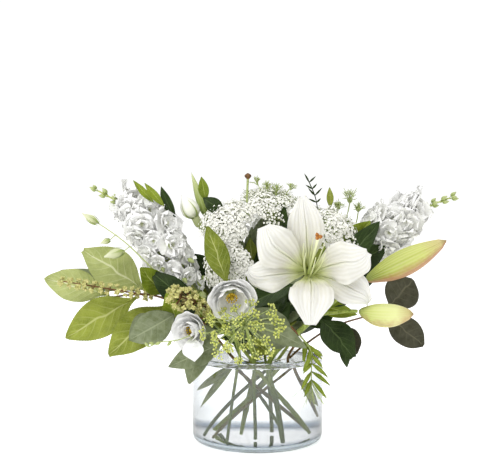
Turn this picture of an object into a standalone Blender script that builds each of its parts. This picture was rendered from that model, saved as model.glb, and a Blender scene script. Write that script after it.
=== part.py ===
"""Lilies in a vase: a low glass cylinder of water that holds a loose white and green bouquet.

Units are metres and +Z is up. The origin is the middle of the vase's underside, where it
rests, and the bouquet's front faces -Y. Places above the vase are given in millimetres from
the middle of its mouth: x to the right, y to the back, up from the rim.
"""

from math import cos, pi, radians, sin

import bmesh
import bpy
from mathutils import Matrix, Vector
from mathutils.bvhtree import BVHTree

MM = 0.001

# ---- the glass and the water ----
VASE_RADIUS = 75 * MM
VASE_HEIGHT = 100 * MM
GLASS_WALL = 3 * MM
GLASS_BASE = 6 * MM
RIM_ROUNDING = 1.2 * MM
HEEL_ROUNDING = 8 * MM
INNER_HEEL_ROUNDING = 6 * MM
RIM_TO_WATER = 7 * MM
GLASS_SEGMENTS = 44

# ---- gaps and thicknesses shared by the plants ----
FIT_GAP = 0.3 * MM
STEM_FLOOR_GAP = 1 * MM
STEM_WALL_GAP = 4 * MM
LEAF_THICKNESS = 1.0 * MM
PETAL_THICKNESS = 1.4 * MM
STALK_WIDTH = 1.6 * MM
NECK_GAP = 1.1 * MM

# ---- the lily ----
LILY_STEM_RADIUS = 3.2 * MM
LILY_STALK_RADIUS = 2.0 * MM
LILY_PETAL_WIDTH = 47 * MM
LILY_SEPAL_WIDTH = 38 * MM
LILY_PISTIL_RADIUS = 1.5 * MM
LILY_FILAMENT_RADIUS = 0.8 * MM
LILY_FILAMENT_RING = 4.4 * MM
LILY_FILAMENT_LENGTH = 46 * MM
LILY_DISC_THICKNESS = 1.5 * MM
LILY_PETAL_CLEARANCE = 0.8 * MM
LILY_NECK_RADIUS = 2.4 * MM
LILY_NECK_GAP = 10 * MM
LILY_LEAF_WIDTH = 28 * MM
UPPER_BUD_RADIUS = 15 * MM
LOWER_BUD_RADIUS = 13 * MM

# ---- the other flowers ----
STOCK_STEM_RADIUS = 2.6 * MM
STOCK_TIP_RADIUS = 1.2 * MM
STOCK_SPIKE_RADIUS = 26 * MM
STOCK_LEAF_WIDTH = 28 * MM
LISIANTHUS_STEM_RADIUS = 1.8 * MM
LISIANTHUS_NECK_RADIUS = 1.5 * MM
LISIANTHUS_TWIG_RADIUS = 1.0 * MM
LISIANTHUS_BLOOM_RADIUS = 26 * MM
LACE_STEM_RADIUS = 1.5 * MM
LACE_HEAD_RADIUS = 28 * MM
GREEN_LACE_HEAD_RADIUS = 40 * MM

# ---- the foliage ----
WOODY_STEM_RADIUS = 2.2 * MM
SILVER_DOLLAR_STEM_RADIUS = 1.8 * MM
TWIG_RADIUS = 1.2 * MM
SALAL_WIDTH = 46 * MM
OLIVE_LEAF_WIDTH = 36 * MM
EUCALYPTUS_WIDTH = 32 * MM
SILVER_DOLLAR_WIDTH = 42 * MM

# ---- how far, and in what steps, a piece leans to stand clear of the others ----
LEAN_STEP = radians(2.5)
LEAN_STEPS = 16
STEM_LEAN_STEPS = 3
FOOT_WALK = (0, 9, -9, 18, -18, 27, -27, 40, -40, 60, -60)

INNER_RADIUS = VASE_RADIUS - GLASS_WALL
LILY_DISC_RADIUS = LILY_FILAMENT_RING + LILY_FILAMENT_RADIUS + FIT_GAP
LILY_THROAT_RADIUS = LILY_DISC_RADIUS + PETAL_THICKNESS / 2 + LILY_PETAL_CLEARANCE
WATER_LEVEL = VASE_HEIGHT - RIM_TO_WATER
FRONT = Vector((0, -1, 0))
UP = Vector((0, 0, 1))
PROBE = Vector((0.36, 0.48, 0.80))
PROBE_STEP = 0.001 * MM

COLOURS = {
    "clear_glass": ((0.92, 0.96, 0.95), 0.02),
    "water": ((0.93, 0.97, 0.97), 0.02),
    "lily_petal": ((0.90, 0.90, 0.86), 0.42),
    "lily_pistil": ((0.72, 0.76, 0.36), 0.45),
    "lily_bud": ((0.56, 0.62, 0.26), 0.45),
    "white_petal": ((0.91, 0.91, 0.90), 0.55),
    "white_lace": ((0.85, 0.87, 0.78), 0.70),
    "green_lace": ((0.40, 0.50, 0.12), 0.65),
    "flower_bud": ((0.45, 0.56, 0.22), 0.50),
    "green_stem": ((0.25, 0.36, 0.08), 0.45),
    "woody_stem": ((0.22, 0.13, 0.06), 0.70),
    "salal_leaf": ((0.33, 0.42, 0.12), 0.40),
    "eucalyptus_leaf": ((0.28, 0.34, 0.25), 0.60),
    "dark_leaf": ((0.06, 0.11, 0.03), 0.35),
    "seeds": ((0.55, 0.55, 0.20), 0.55),
}


def clear_scene():
    for item in list(bpy.data.objects):
        bpy.data.objects.remove(item, do_unlink=True)


def make_collection(name):
    group = bpy.data.collections.new(name)
    bpy.context.scene.collection.children.link(group)
    return group


clear_scene()
BOUQUET = make_collection("lilies_in_a_vase")
CUTTERS = make_collection("cutters")


def finish(name):
    """The material of a finish, made the first time that it is asked for."""
    material = bpy.data.materials.get(name)
    if material is None:
        colour, roughness = COLOURS[name]
        material = bpy.data.materials.new(name)
        material.use_nodes = True
        shader = material.node_tree.nodes["Principled BSDF"]
        shader.inputs["Base Color"].default_value = (*colour, 1.0)
        shader.inputs["Roughness"].default_value = roughness
        shader.inputs["Metallic"].default_value = 0.0
        if name in ("clear_glass", "water"):
            shader.inputs["Transmission Weight"].default_value = 1.0
    return material


# ---- places ----
def spot(x, y, up):
    """A place in millimetres from the middle of the vase's mouth."""
    return Vector((x * MM, y * MM, VASE_HEIGHT + up * MM))


def past_rim(x, y, up):
    """A place that hangs outside the glass: x and y count for a vase of 75 mm radius."""
    spread = VASE_RADIUS / (75 * MM)
    return Vector((x * MM * spread, y * MM * spread, VASE_HEIGHT + up * MM))


def floor_spot(angle, share, clear=STEM_FLOOR_GAP):
    """A place in the water over the glass floor, at a share of the way out to the wall."""
    reach = share * (INNER_RADIUS - STEM_WALL_GAP)
    return Vector((reach * cos(radians(angle)), reach * sin(radians(angle)), GLASS_BASE + clear))


def mouth_spot(across, back):
    """A place in the vase's mouth, as shares of its inner radius."""
    return Vector((across * INNER_RADIUS, back * INNER_RADIUS, VASE_HEIGHT))


# ---- shapes ----
def evaluated(guide):
    """The mesh that an object shows after its modifiers; the object is used up."""
    bpy.context.scene.collection.objects.link(guide)
    graph = bpy.context.evaluated_depsgraph_get()
    graph.update()
    mesh = bpy.data.meshes.new_from_object(guide.evaluated_get(graph))
    data = guide.data
    bpy.data.objects.remove(guide, do_unlink=True)
    if isinstance(data, bpy.types.Curve):
        bpy.data.curves.remove(data)
    return mesh


def weld(mesh, distance=0.00002):
    work = bmesh.new()
    work.from_mesh(mesh)
    bmesh.ops.remove_doubles(work, verts=work.verts, dist=distance)
    bmesh.ops.recalc_face_normals(work, faces=work.faces)
    work.to_mesh(mesh)
    work.free()
    return mesh


def flow(values, count):
    """count values on a smooth curve through the given ones (numbers or Vectors)."""
    last = len(values) - 1
    out = []
    for step in range(count):
        reach = step / (count - 1) * last
        i = min(int(reach), last - 1)
        t = reach - i
        a = values[max(i - 1, 0)]
        b, c = values[i], values[i + 1]
        d = values[min(i + 2, last)]
        out.append(
            ((b * 2) + (c - a) * t + (a * 2 - b * 5 + c * 4 - d) * t * t
             + (b * 3 - a - c * 3 + d) * t * t * t) * 0.5
        )
    return out


def rod(line, radii, roundness=2):
    """A closed round rod along a line of places, with its own radius at each of them."""
    curve = bpy.data.curves.new("rod", "CURVE")
    curve.dimensions = "3D"
    curve.bevel_depth = MM
    curve.bevel_resolution = roundness
    curve.use_fill_caps = True
    run = curve.splines.new("POLY")
    run.points.add(len(line) - 1)
    for point, place, radius in zip(run.points, line, radii):
        point.co = (*place, 1.0)
        point.radius = radius / MM
    return weld(evaluated(bpy.data.objects.new("rod", curve)))


def swollen(line, radii, count, roundness=4):
    """A rod whose radii swell smoothly from one given value to the next."""
    even = flow(line, count)
    girth = [max(value, 0.0006) for value in flow(radii, count)]
    return rod(even, girth, roundness)


def leaf_outline(along, widest, pointed):
    """A blade's half width, 1 at its widest: pointed 1 tapers to a tip, 0.5 is an ellipse."""
    if along < widest:
        return sin(pi / 2 * along / widest) ** pointed
    return cos(pi / 2 * (along - widest) / (1 - widest)) ** pointed


def blade(foot, bend, tip, width, facing, widest=0.45, pointed=0.9, stalk=0.1, fold=0.15,
          curl=0.0, thickness=LEAF_THICKNESS, steps=8, lanes=2):
    """A leaf or petal: an open sheet bent along foot, bend and tip, then given a thickness.

    facing is the way that its upper side looks, widest is where along its length it is
    widest, stalk is the share that is bare, fold raises both sides over the midrib, and curl
    turns the tip back.
    """
    work = bmesh.new()
    bmesh.ops.create_grid(work, x_segments=steps, y_segments=lanes, size=1.0)
    length = (tip - foot).length
    for vert in work.verts:
        along, across = (vert.co.x + 1) / 2, vert.co.y
        centre = foot * (1 - along) ** 2 + bend * (2 * along * (1 - along)) + tip * along ** 2
        ahead = (bend - foot) * (1 - along) + (tip - bend) * along
        side = ahead.cross(facing).normalized()
        top = side.cross(ahead).normalized()
        open_part = max(0.0, (along - stalk) / (1 - stalk))
        half = max(STALK_WIDTH / 2, width / 2 * leaf_outline(open_part, widest, pointed))
        lift = fold * abs(across) * half - curl * length * max(0.0, along - 0.6) ** 2
        vert.co = centre + side * (across * half) + top * lift
    sheet = bpy.data.meshes.new("blade")
    work.to_mesh(sheet)
    work.free()
    guide = bpy.data.objects.new("blade", sheet)
    skin = guide.modifiers.new("thickness", "SOLIDIFY")
    skin.thickness = thickness
    skin.offset = 0.0
    return weld(evaluated(guide))


def grown_together(meshes):
    """One body out of pieces that grow from each other."""
    whole = meshes[0]
    for mesh in meshes[1:]:
        guide = bpy.data.objects.new("whole", whole)
        branch = bpy.data.objects.new("branch", mesh)
        bpy.context.scene.collection.objects.link(branch)
        joint = guide.modifiers.new("joint", "BOOLEAN")
        joint.operation = "UNION"
        joint.solver = "EXACT"
        joint.object = branch
        whole = evaluated(guide)
        bpy.data.objects.remove(branch, do_unlink=True)
    return weld(whole)


# ---- standing clear ----
class Stem:
    """A placed stem: its middle line from the foot up, and its radius along it."""

    def __init__(self, line, radii, move=Matrix.Identity(4)):
        self.line = line
        self.radii = radii
        self.move = move

    def leaned(self, move):
        return Stem([move @ place for place in self.line], self.radii, move)

    def turned(self, direction):
        """A direction of the plant as designed, after its lean."""
        return self.move.to_3x3() @ direction

    def skin(self, share, toward, clear):
        """The place just off the stem's skin, at a share of its length, facing toward."""
        reach = share * (len(self.line) - 1)
        i = min(int(reach), len(self.line) - 2)
        centre = self.line[i].lerp(self.line[i + 1], reach - i)
        ahead = (self.line[i + 1] - self.line[i]).normalized()
        out = toward - centre
        out -= ahead * out.dot(ahead)
        return centre + out.normalized() * (max(self.radii[i], self.radii[i + 1]) + clear)


STANDING = {}


def surface(mesh, lean, grow):
    """The mesh's search tree and box after a lean, grown outwards by a small distance."""
    places = [lean @ (vert.co + vert.normal * grow) for vert in mesh.vertices]
    faces = [tuple(face.vertices) for face in mesh.polygons]
    low = Vector([min(place[i] for place in places) for i in range(3)])
    high = Vector([max(place[i] for place in places) for i in range(3)])
    return BVHTree.FromPolygons(places, faces), low, high, places[0]


def holds(tree, place):
    """True where a place lies inside a closed surface: a ray from it leaves an odd number of times."""
    crossings = 0
    while True:
        hit, _, _, _ = tree.ray_cast(place, PROBE)
        if hit is None:
            return crossings % 2 == 1
        crossings += 1
        place = hit + PROBE * PROBE_STEP


def touches(one, other):
    tree, low, high, first = one
    other_tree, other_low, other_high, other_first = other
    if any(low[i] > other_high[i] or high[i] < other_low[i] for i in range(3)):
        return False
    return bool(tree.overlap(other_tree)) or holds(other_tree, first) or holds(tree, other_first)


def leans(steps):
    """Leans about a foot, the smallest first: to the back and front, then sideways."""
    ways = [(1, 0, 0), (-1, 0, 0), (1, 0, 1), (1, 0, -1), (-1, 0, 1), (-1, 0, -1),
            (0, 0, 1), (0, 0, -1), (0, 1, 0), (0, -1, 0), (1, 1, 0), (1, -1, 0),
            (-1, 1, 0), (-1, -1, 0)]
    yield Matrix.Identity(4)
    for step in range(1, steps + 1):
        for way in ways:
            yield Matrix.Rotation(step * LEAN_STEP, 4, Vector(way))


def clear_lean(pieces, pivot, steps):
    """The smallest lean that stands a plant's pieces clear of all others, or None."""
    for lean in leans(steps):
        move = Matrix.Translation(pivot) @ lean @ Matrix.Translation(-pivot)
        trial = [surface(mesh, move, FIT_GAP) for _, mesh, _ in pieces]
        if not any(touches(one, other) for one in trial for other in STANDING.values()):
            return lean
    return None


def blockers(pieces):
    """The names of what stands in a plant's way when it doesn't lean."""
    trial = [surface(mesh, Matrix.Identity(4), FIT_GAP) for _, mesh, _ in pieces]
    return [name for name, other in STANDING.items() if any(touches(one, other) for one in trial)]


def stand(pieces, pivot, steps=LEAN_STEPS):
    """Adds a plant's pieces (name, mesh, finish), leaned together until they stand clear.

    Returns the lean that was used, as a matrix that moves places with the plant.
    """
    lean = clear_lean(pieces, pivot, steps)
    if lean is None:
        print("no clear place for", [name for name, _, _ in pieces], "by", blockers(pieces))
        lean = Matrix.Identity(4)
    return stand_at(pieces, pivot, lean)


def stand_at(pieces, pivot, lean):
    move = Matrix.Translation(pivot) @ lean @ Matrix.Translation(-pivot)
    for name, mesh, colour in pieces:
        STANDING[name] = surface(mesh, move, 0.0)
        mesh.transform(Matrix.Translation(-pivot))
        place_piece(name, mesh, colour, pivot, lean)
    return move


def place_piece(name, mesh, colour, pivot, lean):
    mesh.name = name
    mesh.materials.clear()
    mesh.materials.append(finish(colour))
    mesh.shade_smooth()
    mesh.set_sharp_from_angle(angle=radians(40))
    piece = bpy.data.objects.new(name, mesh)
    piece.location = pivot
    piece.rotation_euler = lean.to_euler()
    BOUQUET.objects.link(piece)
    return piece


def room_for(stem, owner, name):
    """A cutter that leaves a gap round a stem."""
    clearance = [radius + FIT_GAP * 1.3 for radius in stem.radii]
    ahead = (stem.line[0] - stem.line[1]).normalized()
    line = [stem.line[0] + ahead * FIT_GAP, *stem.line[1:]]
    cutter = bpy.data.objects.new("room_" + name, rod(line, clearance))
    cutter.hide_render = True
    cutter.display_type = "WIRE"
    CUTTERS.objects.link(cutter)
    cut = owner.modifiers.new("room_" + name, "BOOLEAN")
    cut.operation = "DIFFERENCE"
    cut.solver = "EXACT"
    cut.object = cutter


# ---- the vase ----
def arc(centre, radius, start, end, steps):
    """Places in the XZ plane along a round corner, in degrees from +X."""
    angles = [radians(start + (end - start) * i / steps) for i in range(steps + 1)]
    return [(centre[0] + radius * cos(a), centre[1] + radius * sin(a)) for a in angles]


def turned(name, profile):
    """An object turned about the Z axis from a profile of (radius, height) places."""
    mesh = bpy.data.meshes.new(name)
    mesh.from_pydata([(x, 0, z) for x, z in profile], [(i, i + 1) for i in range(len(profile) - 1)], [])
    body = bpy.data.objects.new(name, mesh)
    turn = body.modifiers.new("turn", "SCREW")
    turn.steps = GLASS_SEGMENTS
    turn.render_steps = GLASS_SEGMENTS
    turn.use_merge_vertices = True
    turn.merge_threshold = 0.00001
    turn.use_smooth_shade = True
    return body


def make_vase():
    inner = INNER_RADIUS
    heel, inner_heel, rim = HEEL_ROUNDING, INNER_HEEL_ROUNDING, RIM_ROUNDING
    profile = [(0, GLASS_BASE)]
    profile += arc((inner - inner_heel, GLASS_BASE + inner_heel), inner_heel, -90, 0, 4)
    profile += arc((inner + rim, VASE_HEIGHT - rim), rim, 180, 90, 3)
    profile += arc((VASE_RADIUS - rim, VASE_HEIGHT - rim), rim, 90, 0, 3)
    profile += arc((VASE_RADIUS - heel, heel), heel, 0, -90, 4)
    profile += [(0, 0)]
    vase = turned("glass_vase", profile)
    vase.data.materials.append(finish("clear_glass"))
    BOUQUET.objects.link(vase)
    graph = bpy.context.evaluated_depsgraph_get()
    graph.update()
    shell = bpy.data.meshes.new_from_object(vase.evaluated_get(graph))
    STANDING["glass_vase"] = surface(shell, Matrix.Identity(4), 0.0)


def make_water(stems):
    radius = INNER_RADIUS - FIT_GAP
    heel = INNER_HEEL_ROUNDING
    floor = GLASS_BASE + FIT_GAP
    profile = [(0, WATER_LEVEL), (radius, WATER_LEVEL)]
    profile += arc((radius - heel, floor + heel), heel, 0, -90, 4)
    profile += [(0, floor)]
    water = turned("water", profile)
    water.data.materials.append(finish("water"))
    BOUQUET.objects.link(water)
    for name, stem in stems.items():
        room_for(stem, water, name)


# ---- stems that stand in the water ----
STEMS = {}


def stem_line(foot, mouth, route, count):
    return flow([foot, foot.lerp(mouth, 0.5), mouth, *route], count)


def stand_stem(name, radii, foot, mouth, route, build):
    """A stem from the vase's floor through its mouth, with the pieces that lean with it.

    foot is (angle, share, clear) for floor_spot. The foot walks round the floor, and the
    plant leans about the mouth, until the whole plant stands clear. build takes the stem
    and returns its pieces (name, mesh, finish).
    """
    angle, share, clear = foot
    for walk in FOOT_WALK:
        line = stem_line(floor_spot(angle + walk, share, clear), mouth, route, len(radii))
        stem = Stem(line, radii)
        pieces = build(stem)
        lean = clear_lean(pieces, mouth, STEM_LEAN_STEPS)
        if lean is not None:
            STEMS[name] = stem.leaned(stand_at(pieces, mouth, lean))
            return STEMS[name]
    print("no clear place for", name, "by", blockers(pieces))
    stand_at(pieces, mouth, Matrix.Identity(4))
    STEMS[name] = stem
    return stem


def even_radii(radius, top_radius, count):
    return [radius + (top_radius - radius) * i / (count - 1) for i in range(count)]


def plain_stem(name, colour):
    """A builder for a stem with no other piece."""
    return lambda stem: [(name, rod(stem.line, stem.radii), colour)]


def stand_leaf(name, stem, share, tip, width, facing, colour, arch=8, **form):
    """A leaf from a stem's skin to its tip; arch is how far its middle rises, in mm."""
    facing = Vector(facing).normalized()
    foot = stem.skin(share, tip, STALK_WIDTH / 2 + FIT_GAP)
    bend = foot.lerp(tip, 0.5) + facing * (2 * arch * MM)
    mesh = blade(foot, bend, tip, width, facing, **form)
    stand([(name, mesh, colour)], foot)


def stand_branch(name, stem, share, route, radii, colour, count=10, roundness=2):
    """A side shoot from a stem's skin along a route, with radii from its foot to its end."""
    foot = stem.skin(share, route[0], radii[0] + FIT_GAP)
    mesh = swollen([foot, *route], radii, count, roundness)
    move = stand([(name, mesh, colour)], foot)
    return Stem([move @ place for place in flow([foot, *route], count)], flow(radii, count))


# ---- the lily ----
LILY_HEART = spot(56, -56, 98)
LILY_NODE = spot(66, -42, 50)
UPPER_BUD = (spot(119, -46, 88), spot(208, -55, 134))
LOWER_BUD = (spot(110, -68, 57), spot(168, -84, 56))


def stalk_to(start, base, ahead, radius):
    """A stalk from a node that meets a bud or bloom squarely, a gap short of its base."""
    end = base - ahead * NECK_GAP
    near = end - ahead * (8 * MM)
    return rod(flow([start, start.lerp(near, 0.6), near, end], 7), [radius] * 7)


def make_lily_stem():
    """The main stem, with the two buds' stalks growing from one node."""
    back = LILY_HEART + Vector((0, 1, -0.4)).normalized() * LILY_NECK_GAP
    radii = [LILY_STEM_RADIUS] * 9 + [LILY_NECK_RADIUS] * 3

    def build(stem):
        stalks = [stalk_to(LILY_NODE, base, (tip - base).normalized(), LILY_STALK_RADIUS)
                  for base, tip in (UPPER_BUD, LOWER_BUD)]
        whole = grown_together([rod(stem.line, stem.radii), *stalks])
        return [("lily_stem", whole, "green_stem")]

    stand_stem("lily_stem", radii, (-63, 0.85, STEM_FLOOR_GAP),
               mouth_spot(0.17, -0.58), [LILY_NODE, back], build)


def make_lily_petals():
    """Three inner petals lie over three narrower outer ones, round the throat."""
    inner, outer = LILY_PETAL_WIDTH, LILY_SEPAL_WIDTH
    petals = [
        ("lily_petal_left", inner, spot(-3, -92, 138), spot(12, -118, 140)),
        ("lily_petal_right", inner, spot(122, -88, 102), spot(92, -116, 124)),
        ("lily_petal_bottom", inner, spot(54, -108, 46), spot(58, -128, 94)),
        ("lily_petal_top", outer, spot(47, -84, 184), spot(52, -98, 150)),
        ("lily_petal_lower_left", outer, spot(-9, -72, 84), spot(8, -112, 102)),
        ("lily_petal_lower_right", outer, spot(115, -88, 66), spot(92, -102, 94)),
    ]
    stem = STEMS["lily_stem"]
    heart = stem.move @ LILY_HEART
    for name, width, tip, bend in petals:
        tip, bend = stem.move @ tip, stem.move @ bend
        out = tip - heart
        out.y = 0
        behind = 0 if width == inner else 2 * PETAL_THICKNESS
        foot = heart + out.normalized() * LILY_THROAT_RADIUS - FRONT * behind
        facing = (FRONT * 1.0 - out.normalized() * 0.35).normalized()
        mesh = blade(foot, bend, tip, width, facing, widest=0.55, stalk=0.0, fold=0.22,
                     curl=0.05, thickness=PETAL_THICKNESS, steps=9, lanes=4)
        stand([(name, mesh, "lily_petal")], foot)


def make_lily_heart():
    """The stamens stand on a small disc in the throat, and the pistil in their middle."""
    stem = STEMS["lily_stem"]
    heart, tip = stem.move @ LILY_HEART, stem.move @ spot(63, -112, 142)
    axis = (tip - heart).normalized()
    side = axis.cross(UP).normalized()
    high = side.cross(axis).normalized()
    disc_top = heart + axis * LILY_DISC_THICKNESS
    disc = rod([heart, disc_top], [LILY_DISC_RADIUS] * 2)
    filaments = []
    for i in range(6):
        turn = radians(60 * i + 30)
        out = side * cos(turn) + high * sin(turn)
        foot = heart.lerp(disc_top, 0.5) + out * LILY_FILAMENT_RING
        end = foot + axis * LILY_FILAMENT_LENGTH + out * (9 * MM)
        middle = foot.lerp(end, 0.5) + FRONT * (3 * MM)
        filaments.append(rod(flow([foot, middle, end], 5), [LILY_FILAMENT_RADIUS] * 5, roundness=1))
    stand([("lily_stamens", grown_together([disc, *filaments]), "lily_pistil")], heart)
    foot = disc_top + axis * (2 * FIT_GAP)
    way = [foot, foot.lerp(tip, 0.5) + FRONT * (3 * MM), tip]
    thin = LILY_PISTIL_RADIUS
    pistil = swollen(way, [1.6 * thin, thin, 1.9 * thin], 9, roundness=2)
    stand([("lily_pistil", pistil, "lily_pistil")], foot)


def make_lily_buds():
    upper = [3 * MM, UPPER_BUD_RADIUS * 0.8, UPPER_BUD_RADIUS, UPPER_BUD_RADIUS * 0.75, 2.5 * MM]
    lower = [3 * MM, LOWER_BUD_RADIUS * 0.85, LOWER_BUD_RADIUS, LOWER_BUD_RADIUS * 0.8, 2.5 * MM]
    move = STEMS["lily_stem"].move
    buds = (("lily_bud_upper", UPPER_BUD, upper), ("lily_bud_lower", LOWER_BUD, lower))
    for name, (base, tip), radii in buds:
        base = move @ base
        way = [base.lerp(move @ tip, i / 4) for i in range(5)]
        stand([(name, swollen(way, radii, 9), "lily_bud")], base)


def make_lily_leaves():
    stem = STEMS["lily_stem"]
    facing = (0.1, -1, 0.5)
    width = LILY_LEAF_WIDTH
    stand_leaf("lily_leaf_upper", stem, 0.86, spot(132, -8, 158), width, facing, "dark_leaf", arch=6)
    stand_leaf("lily_leaf_right", stem, 0.80, spot(150, -22, 108), width, facing, "dark_leaf", arch=6)
    stand_leaf("lily_leaf_lower", stem, 0.74, spot(104, -78, 8), width * 1.3, facing, "dark_leaf", arch=6)


# ---- stock: a stem inside a spike of florets ----
SPIKE_SHAPE = (0.55, 0.95, 1.0, 0.75, 0.35)


def spike(stem, start, end):
    """The solid outline of a spike's florets, along part of its stem."""
    last = len(stem.line) - 1
    line = stem.line[int(start * last):int(end * last) + 1]
    return swollen(line, [value * STOCK_SPIKE_RADIUS for value in SPIKE_SHAPE], 9)


def make_stock(side, foot, mouth, route, start):
    name = f"stock_{side}_stem"
    florets = f"stock_{side}_florets"

    def build(stem):
        return [(name, rod(stem.line, stem.radii), "green_stem"),
                (florets, spike(stem, start, 0.88), "white_petal")]

    radii = even_radii(STOCK_STEM_RADIUS, STOCK_TIP_RADIUS, 15)
    stem = stand_stem(name, radii, foot, mouth, route, build)
    room_for(stem, bpy.data.objects[florets], name)


def make_stocks():
    make_stock("left", (-11, 0.7, STEM_FLOOR_GAP), mouth_spot(-0.15, -0.25),
               [spot(-66, -12, 74), spot(-95, -2, 114), spot(-124, 6, 158), spot(-147, 8, 177),
                spot(-185, 12, 199)], 0.45)
    make_stock("right", (150, 0.6, STEM_FLOOR_GAP), mouth_spot(0.4, -0.1),
               [spot(88, 16, 76), spot(125, 20, 114), spot(152, 20, 142), spot(188, 18, 164),
                spot(231, 15, 181)], 0.52)
    make_stock("back", (-100, 0.35, STEM_FLOOR_GAP), mouth_spot(0.05, 0.55),
               [spot(8, 70, 70), spot(10, 84, 108), spot(6, 94, 142), spot(0, 100, 168),
                spot(-6, 106, 196)], 0.5)


def make_stock_leaves():
    stem = STEMS["stock_back_stem"]
    grey, facing, width = "eucalyptus_leaf", (0, 1, 0.8), STOCK_LEAF_WIDTH
    stand_leaf("stock_leaf_left", stem, 0.42, spot(-96, 108, 56), width, facing, grey)
    stand_leaf("stock_leaf_right", stem, 0.44, spot(100, 112, 60), width, facing, grey)


# ---- lisianthus: two open blooms in front, one behind, and buds on thin twigs ----
def bloom(name, stem, foot, axis, radius):
    """A cup of petals from its foot along an axis, both as designed before the stem leaned."""
    foot, axis = stem.move @ foot, stem.turned(axis)
    depth = radius * 1.25
    shape = [0.12, 0.45, 0.8, 0.98, 1.0, 0.86, 0.4]
    line = [foot + axis * (depth * i / 6) for i in range(7)]
    stand([(name, rod(line, [value * radius for value in shape], 4), "white_petal")], foot)


def make_lisianthus():
    right_foot, right_axis = spot(-30, -66, 80), Vector((0.1, -1, 0.25)).normalized()
    left_foot, left_axis = spot(-66, -62, 38), Vector((-0.45, -1, -0.05)).normalized()
    twig = LISIANTHUS_TWIG_RADIUS
    fork = spot(-26, -44, 26)

    def build(stem):
        stalk = stalk_to(fork, left_foot, left_axis, LISIANTHUS_STEM_RADIUS * 0.8)
        whole = grown_together([rod(stem.line, stem.radii), stalk])
        return [("lisianthus_stem", whole, "green_stem")]

    near = right_foot - right_axis * (8 * MM)
    end = right_foot - right_axis * NECK_GAP
    stem = stand_stem("lisianthus_stem", even_radii(LISIANTHUS_STEM_RADIUS, LISIANTHUS_NECK_RADIUS, 14),
                      (-126, 0.78, STEM_FLOOR_GAP), mouth_spot(-0.27, -0.53), [fork, near, end], build)
    bloom("lisianthus_bloom_right", stem, right_foot, right_axis, LISIANTHUS_BLOOM_RADIUS)
    bloom("lisianthus_bloom_left", stem, left_foot, left_axis, LISIANTHUS_BLOOM_RADIUS * 0.82)
    stand_branch("lisianthus_bud_spray", stem, 0.55,
                 [spot(-80, -20, 64), spot(-120, -18, 101), spot(-150, -16, 130), spot(-183, -15, 153)],
                 [twig, twig, twig, 3 * MM, 2 * MM], "flower_bud", count=16)
    top = stand_branch("lisianthus_top_bud", stem, 0.6,
                       [spot(-40, -6, 100), spot(-53, 14, 146), spot(-74, 22, 176), spot(-76, 22, 211)],
                       [twig, twig, twig, 6 * MM, 2 * MM], "flower_bud", count=14)
    stand_branch("lisianthus_pale_bud", top, 0.5, [spot(-66, 10, 146), spot(-76, 8, 164), spot(-88, 8, 181)],
                 [twig, 5 * MM, 11 * MM, 3 * MM], "flower_bud", count=10, roundness=4)


def make_back_bloom():
    foot, axis = spot(-52, 78, 96), Vector((-0.25, 1, 0.5)).normalized()
    near, end = foot - axis * (8 * MM), foot - axis * NECK_GAP
    stem = stand_stem("lisianthus_back_stem", even_radii(LISIANTHUS_STEM_RADIUS, LISIANTHUS_NECK_RADIUS, 12),
                      (-40, 0.5, STEM_FLOOR_GAP), mouth_spot(-0.35, 0.4), [spot(-44, 50, 50), near, end],
                      plain_stem("lisianthus_back_stem", "green_stem"))
    bloom("lisianthus_bloom_back", stem, foot, axis, LISIANTHUS_BLOOM_RADIUS)


# ---- lace flowers: a thin stem that opens into a domed head ----
def lace(line, head_radius, stalk, reach):
    """The stalk's line goes on for reach beyond its end, opening into the head."""
    ahead = (line[-1] - line[-2]).normalized()
    head = [line[-1] + ahead * (reach * share) for share in (0.35, 0.75, 1.0, 1.2, 1.3)]
    opening = [head_radius * share for share in (0.3, 0.82, 1.0, 0.72, 0.3)]
    return rod([*line, *head], [stalk] * len(line) + opening, roundness=3)


def make_white_lace():
    stalk = LACE_STEM_RADIUS
    top = [spot(6, 14, 60), spot(8, 20, 110), spot(12, 20, 152)]
    right = [spot(50, 14, 70), spot(74, 10, 118), spot(80, 8, 132)]
    back = [spot(26, 50, 60), spot(48, 68, 108), spot(56, 76, 128)]
    whole = (
        ("white_lace_top", (60, 0.35), mouth_spot(0.12, 0.14), top, LACE_HEAD_RADIUS * 1.1),
        ("white_lace_right", (178, 0.5), mouth_spot(0.32, 0.3), right, LACE_HEAD_RADIUS * 0.95),
        ("white_lace_back", (-150, 0.75), mouth_spot(0.3, 0.52), back, LACE_HEAD_RADIUS),
    )
    for name, (angle, share), mouth, route, radius in whole:
        def build(stem, name=name, radius=radius):
            return [(name, lace(stem.line, radius, stalk, 22 * MM), "white_lace")]
        stand_stem(name, [stalk] * 11, (angle, share, STEM_FLOOR_GAP), mouth, route, build)
    sides = (
        ("white_lace_left", 0.46, [spot(-26, 8, 108), spot(-40, 2, 136)], LACE_HEAD_RADIUS * 0.95),
        ("white_lace_middle", 0.38, [spot(-14, -10, 74), spot(-27, -20, 96)], LACE_HEAD_RADIUS * 0.85),
    )
    for name, share, route, radius in sides:
        foot = STEMS["white_lace_top"].skin(share, route[0], stalk + FIT_GAP)
        line = flow([foot, *route], 6)
        stand([(name, lace(line, radius, stalk, 18 * MM), "white_lace")], foot)


def make_green_lace():
    stalk = LACE_STEM_RADIUS
    ahead = Vector((-0.1, -1, 0.25)).normalized()
    end = past_rim(-13, -84, 42)

    def build(stem):
        return [("green_lace", lace(stem.line, GREEN_LACE_HEAD_RADIUS, stalk, 20 * MM), "green_lace")]

    stand_stem("green_lace", [stalk] * 12, (-95, 0.3, STEM_FLOOR_GAP), mouth_spot(-0.06, -0.72),
               [past_rim(-8, -60, 16), end - ahead * (8 * MM), end], build)


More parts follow.
